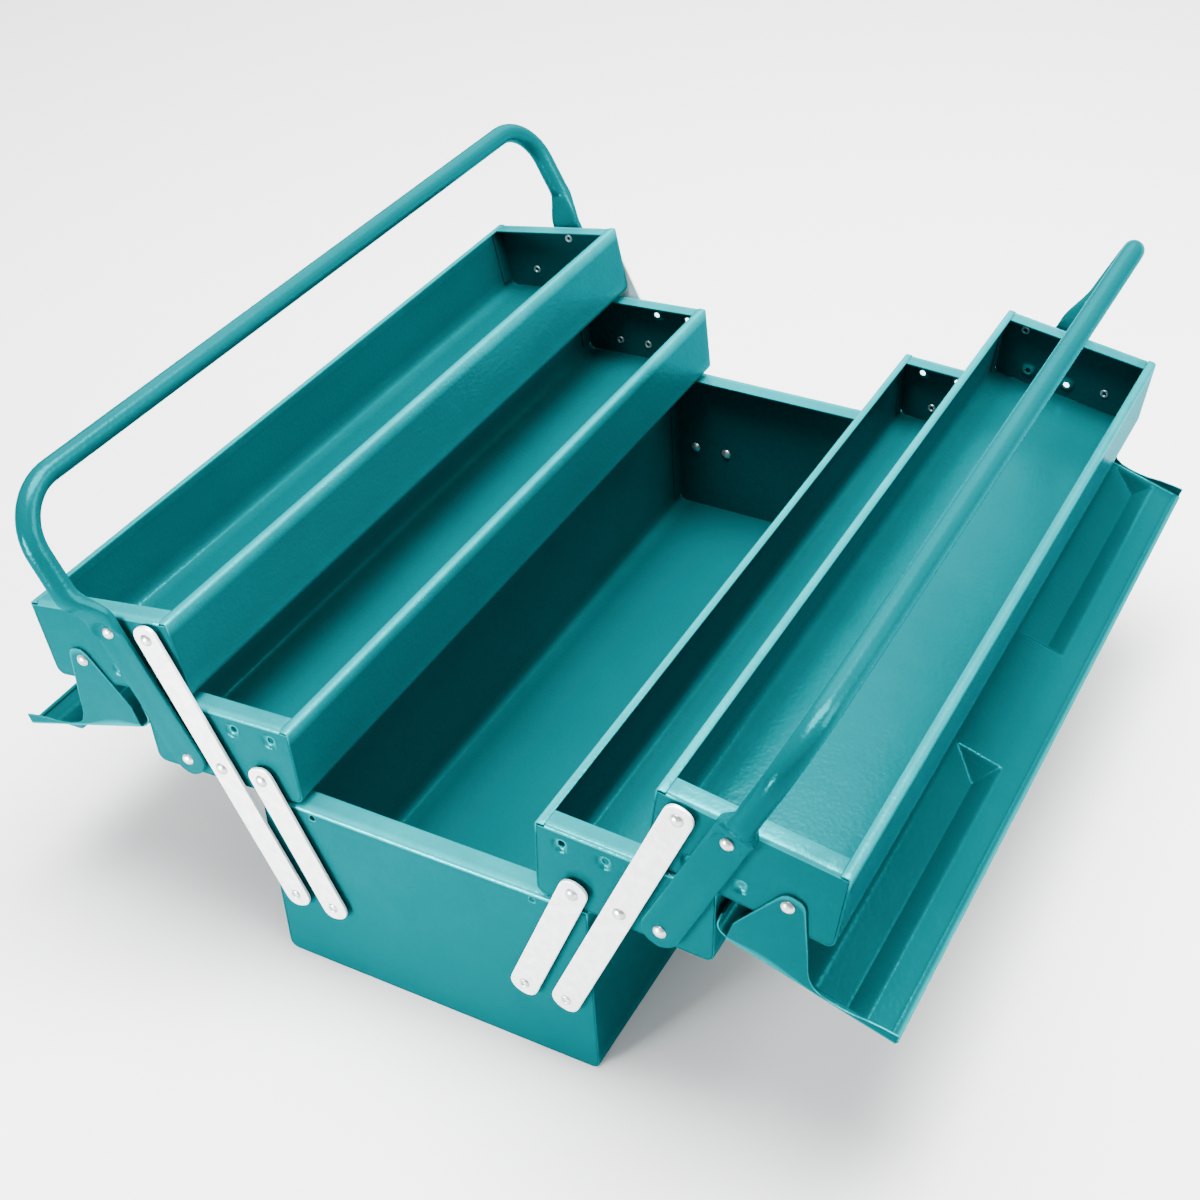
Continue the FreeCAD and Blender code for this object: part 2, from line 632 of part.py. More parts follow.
# ---------------------------------------------------------------- rivets and spacer washers
def make_rivet(x, z, end, strap_thickness, standoff):
    """A domed rivet: upset tail inside the tray, shank through the strap, domed head outside."""
    head_face = half_length + standoff + strap_thickness + cell("head_gap")
    dome_radius = ((cell("head_radius") * cell("head_radius") + cell("head_height") * cell("head_height"))
                   / (cell("head_height") * 2))
    inside = half_length - steel
    shank_bar = primitive("Cylinder", "Shank", (x, (inside - cell("tail_height") / 2) * end, z), facing(end),
                          Radius=shank, Height=head_face - inside + cell("tail_height"))
    tail = primitive("Cylinder", "Tail", (x, (inside - cell("tail_height")) * end, z), facing(end),
                     Radius=cell("tail_radius"), Height=cell("tail_height"))
    dome = primitive("Sphere", "Dome", (x, (head_face - (dome_radius - cell("head_height"))) * end, z),
                     facing(end), Radius=dome_radius)
    dome.Angle1 = math.degrees(math.asin(1 - cell("head_height").value / dome_radius.value))
    return fuse("Rivet", [shank_bar, tail, dome])


def make_spacer(x, z, end, standoff):
    """A washer that keeps a strap clear of the lid's ear."""
    thickness = standoff - cell("head_gap")
    disc = primitive("Cylinder", "Disc", (x, half_length * end, z), facing(end),
                     Radius=cell("spacer_radius"), Height=thickness)
    hole = primitive("Cylinder", "DiscHole", (x, half_length * end, z), facing(end),
                     Radius=rivet_hole, Height=thickness)
    return cut("Spacer", disc, hole)


def make_group(name, members, placement):
    """Identical fasteners of one tray, kept together as separate solids."""
    group = doc.addObject("Part::Compound", name)
    group.Label = name
    group.Links = members
    group.Placement = placement
    doc.recompute()


standoff = cell("link_standoff")
link_steel = cell("link_steel")
strap_steel = cell("strap_steel")
lid_standoff = cell("lid_side_gap")
base_seats = [(side * pivot.x, pivot.z, end) for side in SIDES.values() for pivot in base_pivots.values()
              for end in ENDS.values()]
make_group("base_rivets", [make_rivet(*seat, link_steel, standoff) for seat in base_seats], here)
make_group("base_spacers", [make_spacer(*seat, standoff) for seat in base_seats], here)
for side_name, side in SIDES.items():
    for tray_name, (origin, tilt, pivots, _) in TRAYS.items():
        placement = swung(side, origin, tilt)
        rivets, spacers = [], []
        for pivot_name, pivot in pivots.items():
            for end in ENDS.values():
                if pivot_name != "lid":
                    thickness = strap_steel if pivot_name == "handle" else link_steel
                    rivets.append(make_rivet(side * pivot.x, pivot.z, end, thickness, standoff))
                    spacers.append(make_spacer(side * pivot.x, pivot.z, end, standoff))
        make_group(f"{side_name}_{tray_name}_rivets", rivets, placement)
        make_group(f"{side_name}_{tray_name}_spacers", spacers, placement)
    lid_seat = upper_pivots["lid"]
    make_group(f"{side_name}_lid_rivets",
               [make_rivet(side * lid_seat.x, lid_seat.z, end, steel, lid_standoff) for end in ENDS.values()],
               swung(side, open_upper_origin, upper_tilt))

# ---------------------------------------------------------------- check and write
doc.recompute()
for item in doc.Objects:
    if "Invalid" in item.State or "Error" in item.State:
        raise RuntimeError(f"{item.Label} did not compute: {item.State}")
nodes = [item for item in doc.Objects
         if item.TypeId in ("PartDesign::Body", "Part::Compound") or item.Label.endswith("_handle")]
for item in nodes:
    if item.Shape.isNull() or not item.Shape.isValid():
        raise RuntimeError(f"{item.Label} has no valid shape")
for item in nodes:
    item.Shape.exportStep(f"parts/{item.Label}.step")
    print(f"{item.Label}: {len(item.Shape.Solids)} solid(s), {item.Shape.Volume / 1000:.2f} cm3")
print(f"{len(nodes)} nodes; middle tilt {middle_tilt:.3f}, upper tilt {upper_tilt:.3f}")
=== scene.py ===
# %% [markdown]
# # A cantilever tool box in painted sheet steel
# Five bins made of thin folded sheet, four of which swing out on flat straps. The lids hang open at the sides
# and two tube handles stand over them. What makes such a box look real is the sheet itself: every fold has a
# radius, every rim shows the thickness of the steel, and the paint is glossy with a fine orange peel.
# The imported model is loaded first, because it fixes every place and every joint.

# %% Load the frame
import json
from collections import namedtuple
import bmesh
import bpy
import numpy as np
from mathutils import Matrix, Vector


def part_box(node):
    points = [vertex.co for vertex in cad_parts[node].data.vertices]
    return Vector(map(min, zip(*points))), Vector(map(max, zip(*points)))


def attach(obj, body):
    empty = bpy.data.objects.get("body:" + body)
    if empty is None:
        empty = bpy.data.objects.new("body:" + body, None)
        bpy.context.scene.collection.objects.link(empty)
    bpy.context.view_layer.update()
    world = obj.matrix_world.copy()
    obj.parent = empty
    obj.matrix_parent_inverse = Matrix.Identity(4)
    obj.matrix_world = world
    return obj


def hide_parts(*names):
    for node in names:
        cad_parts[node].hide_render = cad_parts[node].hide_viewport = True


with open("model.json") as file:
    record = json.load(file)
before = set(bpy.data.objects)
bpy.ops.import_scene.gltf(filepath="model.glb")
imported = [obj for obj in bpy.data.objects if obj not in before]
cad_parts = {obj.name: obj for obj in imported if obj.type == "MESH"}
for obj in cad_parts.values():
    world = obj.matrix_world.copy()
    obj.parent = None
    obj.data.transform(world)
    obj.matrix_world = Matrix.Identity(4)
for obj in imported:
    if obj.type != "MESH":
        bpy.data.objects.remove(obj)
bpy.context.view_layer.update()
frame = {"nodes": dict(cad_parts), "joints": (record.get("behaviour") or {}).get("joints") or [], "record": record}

# %% [markdown]
# ## Where things hang
# The four trays do not stand level when they are out: the straps tilt them outward a little. How much is read
# from the record: a tray's own joint gives back part of the strap's swing when the box shuts, and what is left
# over is the tilt. A `Seat` then carries points from a tray's own upright drawing, with its inner wall at
# x = 0 and its floor at z = 0, out to the place where the tray hangs. The left side is the mirror of the right.

# %% Joints, tilts and seats
MM = 0.001
joints = {joint["name"]: joint for joint in frame["joints"]}
ratios = {pair["joint"]: pair["ratio"] for pair in frame["record"]["behaviour"]["couplings"]}
swing = joints["right_trays_close"]["range_deg"][1]


def pivot_of(joint):
    """A right-hand joint's pivot in millimetres, as (x, z)."""
    x, _, z = joints["right_" + joint]["pos_m"]
    return np.array([x, z]) / MM


def lean_of(*names):
    """Degrees a body leans outward now: the swing plus what each joint up to it adds while shutting."""
    return swing * sum(ratios.get("right_" + name, 1.0) for name in names)


def leaned(points, degrees):
    """Turn (x, z) points about the origin so that an upright line leans outward by that many degrees."""
    turn = np.radians(degrees)
    x, z = points[..., 0], points[..., 1]
    return np.stack([x * np.cos(turn) + z * np.sin(turn), z * np.cos(turn) - x * np.sin(turn)], -1)


class Seat:
    """Carries a drawing in millimetres to its place: lean about a pivot, then move the pivot home."""

    def __init__(self, side=1, degrees=0.0, drawn=(0.0, 0.0), home=(0.0, 0.0)):
        self.side, self.degrees = side, degrees
        self.drawn, self.home = np.array(drawn, float), np.array(home, float)

    def place(self, points):
        """Turn (x, y, z) points of the drawing into places in the frame, in metres."""
        flat = leaned(points[:, [0, 2]] - self.drawn, self.degrees) + self.home
        return np.stack([self.side * flat[:, 0], points[:, 1], flat[:, 1]], -1) * MM


middle_tilt = lean_of("trays_close", "middle_tray_turn")
upper_tilt = lean_of("trays_close", "upper_tray_turn")
print(f"middle trays tilt {middle_tilt:.2f} degrees, upper trays {upper_tilt:.2f}")

# %% [markdown]
# ## The sheet and its folds
# All the trays are one gauge of steel. Their sizes are the maker's drawing sizes, in millimetres: a pivot is
# given as (x, z) in the tray's own drawing, and its tray is hung so that it falls on the joint above.

# %% Sizes of the sheet metal
STEEL, EDGE_BREAK = 0.8, 0.16
BASE_HALF, HALF_LENGTH, BASE_HEIGHT = (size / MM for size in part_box("base_pan")[1])
TRAY_WIDTH, TRAY_HEIGHT, RIM_WIDTH = 97.4, 48.0, 5
SIDES = {"right": 1, "left": -1}
ENDS = {"front": -1, "back": 1}
PIVOT_ROW = 12.07
MIDDLE_PIVOTS = {"short": (22.1, PIVOT_ROW), "long": (48.23, PIVOT_ROW), "handle": (70.6, PIVOT_ROW)}
UPPER_PIVOTS = {"long": (13.85, 38.27), "handle": (39.7, 39.27), "lid": (72.5, 14.0)}
SPARE = {"middle": [(13.85, 38.0), (38.0, 38.0)], "upper": [(22.1, 11.0), (48.23, 11.0)]}
seats = {}
for name, side in SIDES.items():
    seats[name, "middle"] = Seat(side, middle_tilt, MIDDLE_PIVOTS["long"], pivot_of("middle_tray_turn"))
    seats[name, "upper"] = Seat(side, upper_tilt, UPPER_PIVOTS["long"], pivot_of("upper_tray_turn"))
home = Seat()
print(f"base {2 * BASE_HALF:.1f} x {2 * HALF_LENGTH:.1f} x {BASE_HEIGHT:.1f} mm")

# %% [markdown]
# ## From surfaces to pieces
# Every piece is made of patches: grids of points worked out by a formula. The patches are joined, points that
# fall together are merged, and the faces are turned to agree. A sheet is drawn as the surface in the middle of
# its metal and gets its thickness from Solidify, and a small Bevel breaks its cut edges, as the paint does on
# the real ones.


# %% Grid patches
def grid_faces(rows, columns, wrap=False):
    """Faces of a grid of points: each joins a point to its right, lower right and lower neighbours."""
    index = np.arange(rows * columns).reshape(rows, columns)
    if wrap:
        index = np.hstack([index, index[:, :1]])
    return np.stack([index[:-1, :-1], index[:-1, 1:], index[1:, 1:], index[1:, :-1]], -1).reshape(-1, 4)


class Patch:
    """A grid of (x, y, z) points with a (u, v) place and a value for each of wear and, on rims, painted highlight.
    """

    def __init__(self, points, uv=None, wear_and_highlight=None, keep=None, wrap=False):
        rows, columns = points.shape[:2]
        self.points = points.reshape(-1, 3)
        uv = points[..., [1, 2]] if uv is None else uv
        wear_and_highlight = 0.0 if wear_and_highlight is None else wear_and_highlight
        self.uv = np.broadcast_to(uv, (rows, columns, 2)).reshape(-1, 2)
        self.wear_and_highlight = np.broadcast_to(wear_and_highlight, (rows, columns)).ravel()
        self.faces = grid_faces(rows, columns, wrap)
        if keep is not None:
            self.faces = self.faces[keep.ravel()]

    def moved(self, shift=(0, 0, 0), flip_y=False):
        """A copy moved by a shift, and mirrored end to end first if asked."""
        copy = Patch.__new__(Patch)
        copy.points = self.points * (1, -1 if flip_y else 1, 1) + shift
        copy.uv, copy.wear_and_highlight, copy.faces = self.uv, self.wear_and_highlight, self.faces
        return copy


print("a grid of 3 by 4 points has", len(grid_faces(3, 4)), "faces, and wrapped round it has",
      len(grid_faces(3, 4, wrap=True)))

# %% Build one piece
paints = {}
SAME_POINT, CUT_EDGE_ANGLE = 2e-6, 55


def build(name, patches, seat, body, slot, stands_for, thickness=None, bevel=0.0, crease=32.0):
    """Join patches into one mesh, give it thickness if it is a sheet, and hand it to its body."""
    starts = np.cumsum([0] + [len(patch.points) for patch in patches[:-1]])
    points = seat.place(np.concatenate([patch.points for patch in patches]))
    faces = np.concatenate([patch.faces + start for patch, start in zip(patches, starts)])
    mesh = bpy.data.meshes.new(name)
    mesh.from_pydata(points, [], faces)
    wear_and_highlight = mesh.attributes.new("wear_and_highlight", "FLOAT", "POINT")
    wear_and_highlight.data.foreach_set("value", np.concatenate([patch.wear_and_highlight for patch in patches]).astype(np.float32))
    corner = np.empty(len(mesh.loops), np.int32)
    mesh.loops.foreach_get("vertex_index", corner)
    uv = np.concatenate([patch.uv for patch in patches])[corner] * MM
    mesh.uv_layers.new(name="metres").data.foreach_set("uv", uv.astype(np.float32).ravel())
    joined = bmesh.new()
    joined.from_mesh(mesh)
    bmesh.ops.remove_doubles(joined, verts=joined.verts, dist=SAME_POINT)
    loose = [vertex for vertex in joined.verts if not vertex.link_faces]
    bmesh.ops.delete(joined, geom=loose, context="VERTS")
    bmesh.ops.recalc_face_normals(joined, faces=joined.faces)
    joined.to_mesh(mesh)
    joined.free()
    piece = bpy.data.objects.new(name, mesh)
    bpy.context.scene.collection.objects.link(piece)
    if thickness:
        solid = piece.modifiers.new("gauge", "SOLIDIFY")
        solid.thickness, solid.offset = thickness * MM, 0.0
        solid.use_even_offset = True
    if bevel:
        broken = piece.modifiers.new("edges", "BEVEL")
        broken.width, broken.segments, broken.angle_limit = bevel * MM, 2, np.radians(CUT_EDGE_ANGLE)
        broken.use_clamp_overlap = True
    if piece.modifiers:
        graph = bpy.context.evaluated_depsgraph_get()
        piece.data = bpy.data.meshes.new_from_object(piece.evaluated_get(graph))
        piece.data.name = name
        piece.modifiers.clear()
    piece.data.shade_smooth()
    piece.data.set_sharp_from_angle(angle=np.radians(crease))
    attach(piece, body)
    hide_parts(*stands_for)
    paints.setdefault(slot, []).append(piece)
    return piece


print("folds sharper than", CUT_EDGE_ANGLE, "degrees get a small bevel")

# %% [markdown]
# ## Folding a strip
# A folded sheet, seen from its end, is a line with rounded corners. The helper below rounds each corner with an
# arc that touches both straight runs, and notes how close each point is to a fold, because that is where paint
# wears first. A pan is that line carried along the length of the box.


# %% Rounded lines
def unit(vector):
    """A vector's direction, with a length of 1."""
    return vector / np.linalg.norm(vector)


def straight(start, end, run):
    """Points from start to end, no more than one run apart, without the start itself."""
    count = max(1, int(np.ceil(np.linalg.norm(end - start) / run)))
    return start + (end - start) * np.linspace(0, 1, count + 1)[1:, None]


def folded(corners, radii, run=6.0, steps=6):
    """A line through corners, each rounded by an arc; returns points and a 0 to 1 nearness to a fold.

    The arc starts radius * tan(turn / 2) before its corner, and each point on it is
    centre + (start - centre) * cos(angle) + arriving direction * radius * sin(angle).
    """
    corners = np.array(corners, float)
    here, lines, folds = corners[0], [corners[:1]], [np.zeros(1)]
    for before, corner, after, radius in zip(corners, corners[1:], corners[2:], radii):
        arrive, leave = unit(corner - before), unit(after - corner)
        turn = np.arccos(np.clip(arrive @ leave, -1, 1))
        start = corner - arrive * radius * np.tan(turn / 2)
        centre = corner + unit(leave - arrive) * radius / np.cos(turn / 2)
        angle = np.linspace(0, turn, steps + 1)[1:, None]
        arc = centre + (start - centre) * np.cos(angle) + arrive * radius * np.sin(angle)
        lines += [straight(here, start, run), arc]
        folds += [np.zeros(len(lines[-2])), np.ones(steps)]
        folds[-2][-1] = 1.0
        here = lines[-1][-1]
    lines.append(straight(here, corners[-1], run))
    folds.append(np.zeros(len(lines[-1])))
    return np.concatenate(lines), np.concatenate(folds)


def distance_along(line):
    """How far along the line each of its points is."""
    return np.concatenate([[0], np.cumsum(np.linalg.norm(np.diff(line, axis=0), axis=1))])


square_turn, _ = folded([(0, 0), (10, 0), (10, 10)], [3.0])
print(f"a 20 mm right angle with a 3 mm fold is {distance_along(square_turn)[-1]:.2f} mm long")

# %% Pans
def buckle(along, across, seed):
    """The slight oil-canning of thin sheet: three slow waves added up, about 1 at most."""
    return (0.6 * np.sin(along / 63 + seed) * np.cos(across / 41 + seed * 1.7)
            + 0.4 * np.sin(along / 29 + across / 37 + seed * 2.3))


def rim_highlight_and_wear(fold):
    """A painted highlight of 0.55 over the whole of a turned-in rim, with wear added on top, most at its fold."""
    return 0.55 + 0.45 * fold


def pan(left, right, height, seed, bottom_radius=4.6, fold_radius=1.3):
    """A floor with two walls and turned-in rims: a folded line carried along Y, buckled between its folds."""
    half = STEEL / 2
    line, fold = folded(
        [(left + RIM_WIDTH, height - half), (left + half, height - half), (left + half, half),
         (right - half, half), (right - half, height - half), (right - RIM_WIDTH, height - half)],
        [fold_radius, bottom_radius, bottom_radius, fold_radius], run=7)
    along = distance_along(line)
    normal = np.gradient(line, axis=0)
    normal = np.stack([-normal[:, 1], normal[:, 0]], -1) / np.linalg.norm(normal, axis=1)[:, None]
    to_fold = np.abs(along[:, None] - along[fold > 0][None]).min(1)
    calm = np.clip(to_fold / 14, 0, 1)
    inner = HALF_LENGTH - 20
    y = np.concatenate([np.linspace(-HALF_LENGTH, -inner, 6)[:-1], np.linspace(-inner, inner, 49),
                        np.linspace(inner, HALF_LENGTH, 6)[1:]])
    ends = np.clip((HALF_LENGTH - 14 - np.abs(y)) / 60, 0, 1)
    depth = 0.22 * ends[:, None] * calm[None] * (1 + buckle(y[:, None], along[None], seed))
    points = np.empty((len(y), len(line), 3))
    points[..., 0] = line[None, :, 0] + normal[None, :, 0] * depth
    points[..., 1] = y[:, None]
    points[..., 2] = line[None, :, 1] + normal[None, :, 1] * depth
    uv = np.stack(np.broadcast_arrays(y[:, None], along[None]), -1)
    on_rim, near_rim = line[:, 1] > height - 0.9, line[:, 1] > height - 3
    # On the rim the value starts at 0.55 all over, which is a painted highlight; elsewhere it is wear at the
    # folds.
    wear_and_highlight = np.where(on_rim, rim_highlight_and_wear(fold), np.where(near_rim, fold, 0.15 * fold))
    return Patch(points, uv, wear_and_highlight[None])


pieces = [build("base_bin_pan", [pan(-BASE_HALF, BASE_HALF, BASE_HEIGHT, 0.3)], home, "base", "teal_paint",
                ["base_pan"], STEEL, EDGE_BREAK)]
for (name, level), seat in seats.items():
    seed = {"right": 1.0, "left": 4.0}[name] + {"middle": 0.0, "upper": 1.4}[level]
    pieces.append(build(f"{name}_{level}_tray_pan", [pan(0, TRAY_WIDTH, TRAY_HEIGHT, seed)], seat,
                        f"{name}_{level}_tray", "teal_paint", [f"{name}_{level}_pan"], STEEL, EDGE_BREAK))
print("pans:", len(pieces), "and the bin's has", len(pieces[0].data.polygons), "faces")

# %% [markdown]
# ## End plates with punched holes
# An end plate has a turned-in rim, two welded side tabs, rounded lower corners and a few punched holes. Spare
# holes are left open: the same die makes every end plate, and each tray uses only some of its holes. The plate
# is a grid whose lines pass just outside each hole. The block of cells round a hole is taken out and filled
# with rings that change from the block's outline to the hole's circle, so the hole is truly open, and the
# metal round it sinks inward as it does under a punch.

# %% Punched and dimpled holes
Hole = namedtuple("Hole", "x z radius sink spread")


def lines_between(low, high, spacing, through):
    """Grid lines from low to high that also pass through given places."""
    regular = np.linspace(low, high, int(np.ceil((high - low) / spacing)) + 1)
    fixed = np.array([place for place in through if low < place < high])
    if len(fixed):
        regular = regular[np.abs(regular[:, None] - fixed[None]).min(1) > spacing * 0.4]
    return np.unique(np.concatenate([[low], regular, fixed, [high]]))


def dimple(gap, sink, spread):
    """How far metal sinks at a distance from a hole's centre: nothing at the spread, all of it halfway in."""
    share = np.clip((spread - gap) / (0.55 * spread), 0, 1)
    return sink * share * share * (3 - 2 * share)


def round_block(rows, columns):
    """The grid points round a block of cells, in order, each as (row, column)."""
    return np.concatenate([
        [(rows[0], column) for column in columns[:-1]], [(row, columns[-1]) for row in rows[:-1]],
        [(rows[-1], column) for column in columns[:0:-1]], [(row, columns[0]) for row in rows[:0:-1]]])


def hole_patch(hole, square, face):
    """Rings that change from a block's outline to the hole's circle, and sink from the face on the way."""
    rays = square - hole[:2]
    circle = np.array(hole[:2]) + rays / np.linalg.norm(rays, axis=1)[:, None] * hole.radius
    share = np.linspace(0, 1, 14)[:, None, None]
    rings = square * (1 - share) + circle * share
    gap = np.linalg.norm(rings - hole[:2], axis=-1)
    points = np.stack([rings[..., 0], face + dimple(gap, hole.sink, hole.spread), rings[..., 1]], -1)
    return Patch(points, rings, np.clip(share[..., 0] * 1.4 - 0.5, 0, 1), wrap=True)


SPARE_PUNCH, RIM_PUNCH = (2.0, 1.5, 5.6), (1.9, 0.3, 2.5)
print("a spare hole's metal sinks", dimple(*SPARE_PUNCH), "mm at its edge")

# %% End plates
GRID_SPACING, SEAM = 5.5, 0.28
BOW = np.array([0.04, 0.12, 0.24, 0.4, 0.6, 0.8, 1.0])


def weld_tab(edge, way, low, top):
    """The strip that folds off a plate's side and is welded to the pan's wall, with its far corners cut."""
    z = np.array([low + 5.2, low + 6.6, *np.linspace(low + 14, top - 7, 5), top - 3.5, top - 2.5])
    y = np.array([STEEL / 2, 3, 6, 9, 11, 12.0])
    corners = (y == y[-1])[None] & np.isin(z, z[[0, -1]])[:, None]
    tab = np.empty((len(z), len(y), 3))
    tab[..., 0] = edge + way * STEEL / 2
    tab[..., 1] = y[None] - np.where(corners, 1.2, 0)
    tab[..., 2] = z[:, None]
    return Patch(tab)


def end_plate(left, right, height, depth, holes, seed, fold_radius=1.5, corner=4.2):
    """Patches of an end plate: the face with its rim, then the holes, then the tabs; y counts inward."""
    half = STEEL / 2
    low, top = STEEL + SEAM, height - half
    near, far = left + low, right - low
    rim_near, rim_far = left + RIM_WIDTH + SEAM, right - RIM_WIDTH - SEAM
    rim, fold = folded([(depth, top), (half, top), (half, top - 2.2)], [fold_radius], run=3)
    bow, ways = corner * BOW, np.linspace(-1, 1, 9)
    x = lines_between(near, far, GRID_SPACING, [rim_near, rim_far, *(near + bow), *(far - bow)]
                      + [hole.x + way * hole.spread for hole in holes for way in ways])
    z = lines_between(low, rim[-1, 1], GRID_SPACING, [*(low + bow)]
                      + [hole.z + way * hole.spread for hole in holes for way in ways])
    z = z[::-1][1:]
    rows_y = np.concatenate([rim[:, 0], np.full(len(z), half)])
    rows_z = np.concatenate([rim[:, 1], z])
    squeeze = np.clip((low + corner - rows_z) / corner, 0, 1)
    inset = corner * (1 - np.sqrt(1 - squeeze ** 2))
    off_middle, half_width = x - (near + far) / 2, (far - near) / 2
    outer = np.clip((np.abs(off_middle) - (half_width - corner)) / corner, 0, 1)
    calm_x = np.clip((half_width - np.abs(off_middle)) / 12, 0, 1)
    calm_z = np.clip((rim[-1, 1] - rows_z) / 12, 0, 1) * np.clip((rows_z - low) / 14, 0, 1)
    calm = calm_z[:, None] * calm_x[None]
    for hole in holes:
        apart = np.maximum(np.abs(x - hole.x)[None], np.abs(rows_z - hole.z)[:, None])
        calm = calm * np.clip((apart - hole.spread - 0.5) / 8, 0, 1)
    points = np.empty((len(rows_y), len(x), 3))
    points[..., 0] = x[None] - np.sign(off_middle)[None] * outer[None] * inset[:, None]
    points[..., 1] = rows_y[:, None] + 0.12 * calm * (1 + buckle(x[None] * 2.2, rows_z[:, None] * 2, seed))
    points[..., 2] = rows_z[:, None]
    cell_x = (x[1:] + x[:-1]) / 2
    is_rim = np.arange(len(rows_y) - 1) < len(rim) - 2
    keep = ~(is_rim[:, None] & ((cell_x < rim_near) | (cell_x > rim_far))[None])
    patches = []
    for hole in holes:
        columns = np.flatnonzero(np.abs(x - hole.x) < hole.spread + 0.01)
        rows = np.flatnonzero((np.abs(rows_z - hole.z) < hole.spread + 0.01) & (rows_y == half))
        keep[rows[0]:rows[-1], columns[0]:columns[-1]] = False
        edge = round_block(rows, columns)
        patches.append(hole_patch(hole, points[edge[:, 0], edge[:, 1]][:, [0, 2]], half))
    # The rim gets a painted highlight all over, plus wear at its fold, as a pan's rim does.
    on_rim = np.where(rim[:, 1] > top - 0.2, rim_highlight_and_wear(fold), fold)
    wear_and_highlight = np.concatenate([on_rim, np.zeros(len(z))])[:, None]
    along = distance_along(np.stack([rows_y, rows_z], -1))
    uv = np.stack(np.broadcast_arrays(x[None], along[:, None]), -1)
    tabs = [weld_tab(near, 1, low, top), weld_tab(far, -1, low, top)]
    return [Patch(points, uv, wear_and_highlight, keep), *patches, *tabs]


def at_end(patches, end):
    """Stand plates drawn inward from y = 0 at one end of the box."""
    return [patch.moved((0, end * HALF_LENGTH, 0), flip_y=end > 0) for patch in patches]


BASE_RIM_DEPTH, TRAY_RIM_DEPTH = 13.5, 11
for end_name, end in ENDS.items():
    holes = [Hole(way * 67.0, BASE_HEIGHT - 5.2, *RIM_PUNCH) for way in (-1, 1)]
    plates = at_end(end_plate(-BASE_HALF, BASE_HALF, BASE_HEIGHT, BASE_RIM_DEPTH, holes, 2.0 + end,
                              fold_radius=2.0), end)
    pieces.append(build(f"base_{end_name}_end", plates, home, "base", "teal_paint",
                        [f"base_{end_name}_plate"], STEEL, EDGE_BREAK))
    for (name, level), seat in seats.items():
        holes = [Hole(x, z, *SPARE_PUNCH) for x, z in SPARE[level]]
        plates = at_end(end_plate(0, TRAY_WIDTH, TRAY_HEIGHT, TRAY_RIM_DEPTH, holes, len(pieces) * 1.3), end)
        pieces.append(build(f"{name}_{level}_{end_name}_end", plates, seat, f"{name}_{level}_tray",
                            "teal_paint", [f"{name}_{level}_{end_name}_plate"], STEEL, EDGE_BREAK))
print("end plates:", len(pieces) - 5)

# %% [markdown]
# ## Lids
# A lid is one pressing. Its free edge is a hem, folded back flat. Its back edge rolls over a wide radius into a
# lip. Two long ribs with a steep side and a shallow side stiffen it, and seen from inside they are pockets.
# At each end the sheet turns down into an ear that carries the hinge rivet. The panel is a height over a grid:
# a rib is the lowest of four slopes, which gives the hip-roof ends, with its edges rounded a little.

# %% Lid surfaces
LID_TOP, LID_BACK = 58.5, TRAY_WIDTH + 0.4 + STEEL
LID_END = HALF_LENGTH + 0.35 + STEEL / 2
LID_RADIUS, LIP_LOW, HEM_WIDTH, HEM_DROP, EAR_FOLD = 6.6, 45, 4.4, 1.15, 1.2
RIB_HEIGHT, RIB_FEET, RIB_CREST = 9.8, (17.5, 44.5), 27.0
RIB_SPAN, RIB_END_SLOPES = (51, 237.5), (12, 6)
EAR_OUTLINE = np.array([(0.0, 51.3), (8, 52.2), (16, 53.6), (23, 55.6), (29, 56.5), (36, 56.8), (41.5, 56.3),
                        (45.5, 54.6), (48.5, 51.6), (50.5, 48), (52, 44), (53.4, 39.5),
                        (64.6, 9.9), (65.6, 8.3), (67.2, 7.0), (69, 6.5), (72.5, 6.5), (74.5, 7.2), (76.6, 8.9),
                        (78, 11.2), (91.2, 44), (91.8, 46.5), (92.1, 49.5)])


def soft_lowest(values, rounding):
    """The lowest of several heights, rounded where two of them meet: -r * log(sum of exp(-height / r))."""
    return -rounding * np.log(sum(np.exp(-np.clip(value, -30, 60) / rounding) for value in values))


def rib_height(x, y):
    """Height of the two stamped ribs above the panel at (x, y)."""
    steep = (x - RIB_FEET[0]) * RIB_HEIGHT / (RIB_CREST - RIB_FEET[0])
    shallow = (RIB_FEET[1] - x) * RIB_HEIGHT / (RIB_FEET[1] - RIB_CREST)
    first = (np.abs(y) - RIB_SPAN[0]) * RIB_HEIGHT / RIB_END_SLOPES[0]
    last = (RIB_SPAN[1] - np.abs(y)) * RIB_HEIGHT / RIB_END_SLOPES[1]
    return -soft_lowest([-soft_lowest([steep, shallow, first, last], 0.28), np.zeros_like(x * y)], 0.22)


def ear_patch(line, top):
    """The ear at the back end: a small fold from the panel, then a plate down to the ear's outline."""
    x = line[(line[:, 1] > top - 0.01) & (line[:, 0] <= EAR_OUTLINE[-1, 0]), 0]
    fold_low = top - EAR_FOLD
    low = np.minimum(np.interp(x, EAR_OUTLINE[:, 0], EAR_OUTLINE[:, 1]), fold_low - 0.15)
    bend, _ = folded([(LID_END - EAR_FOLD, top), (LID_END, top), (LID_END, fold_low)], [EAR_FOLD - 0.01],
                     run=2, steps=5)
    share = np.linspace(0, 1, 14)[1:]
    plate_z = fold_low + (low[:, None] - fold_low) * share[None]
    points = np.empty((len(x), len(bend) + len(share), 3))
    points[..., 0] = x[:, None]
    points[:, :len(bend), 1], points[:, :len(bend), 2] = bend[None, :, 0], bend[None, :, 1]
    points[:, len(bend):, 1], points[:, len(bend):, 2] = LID_END, plate_z
    wear_and_highlight = np.zeros(points.shape[:2])
    wear_and_highlight[:, 1:len(bend)], wear_and_highlight[:, -1] = 0.9, 0.7
    return Patch(points, points[..., [0, 2]], wear_and_highlight)


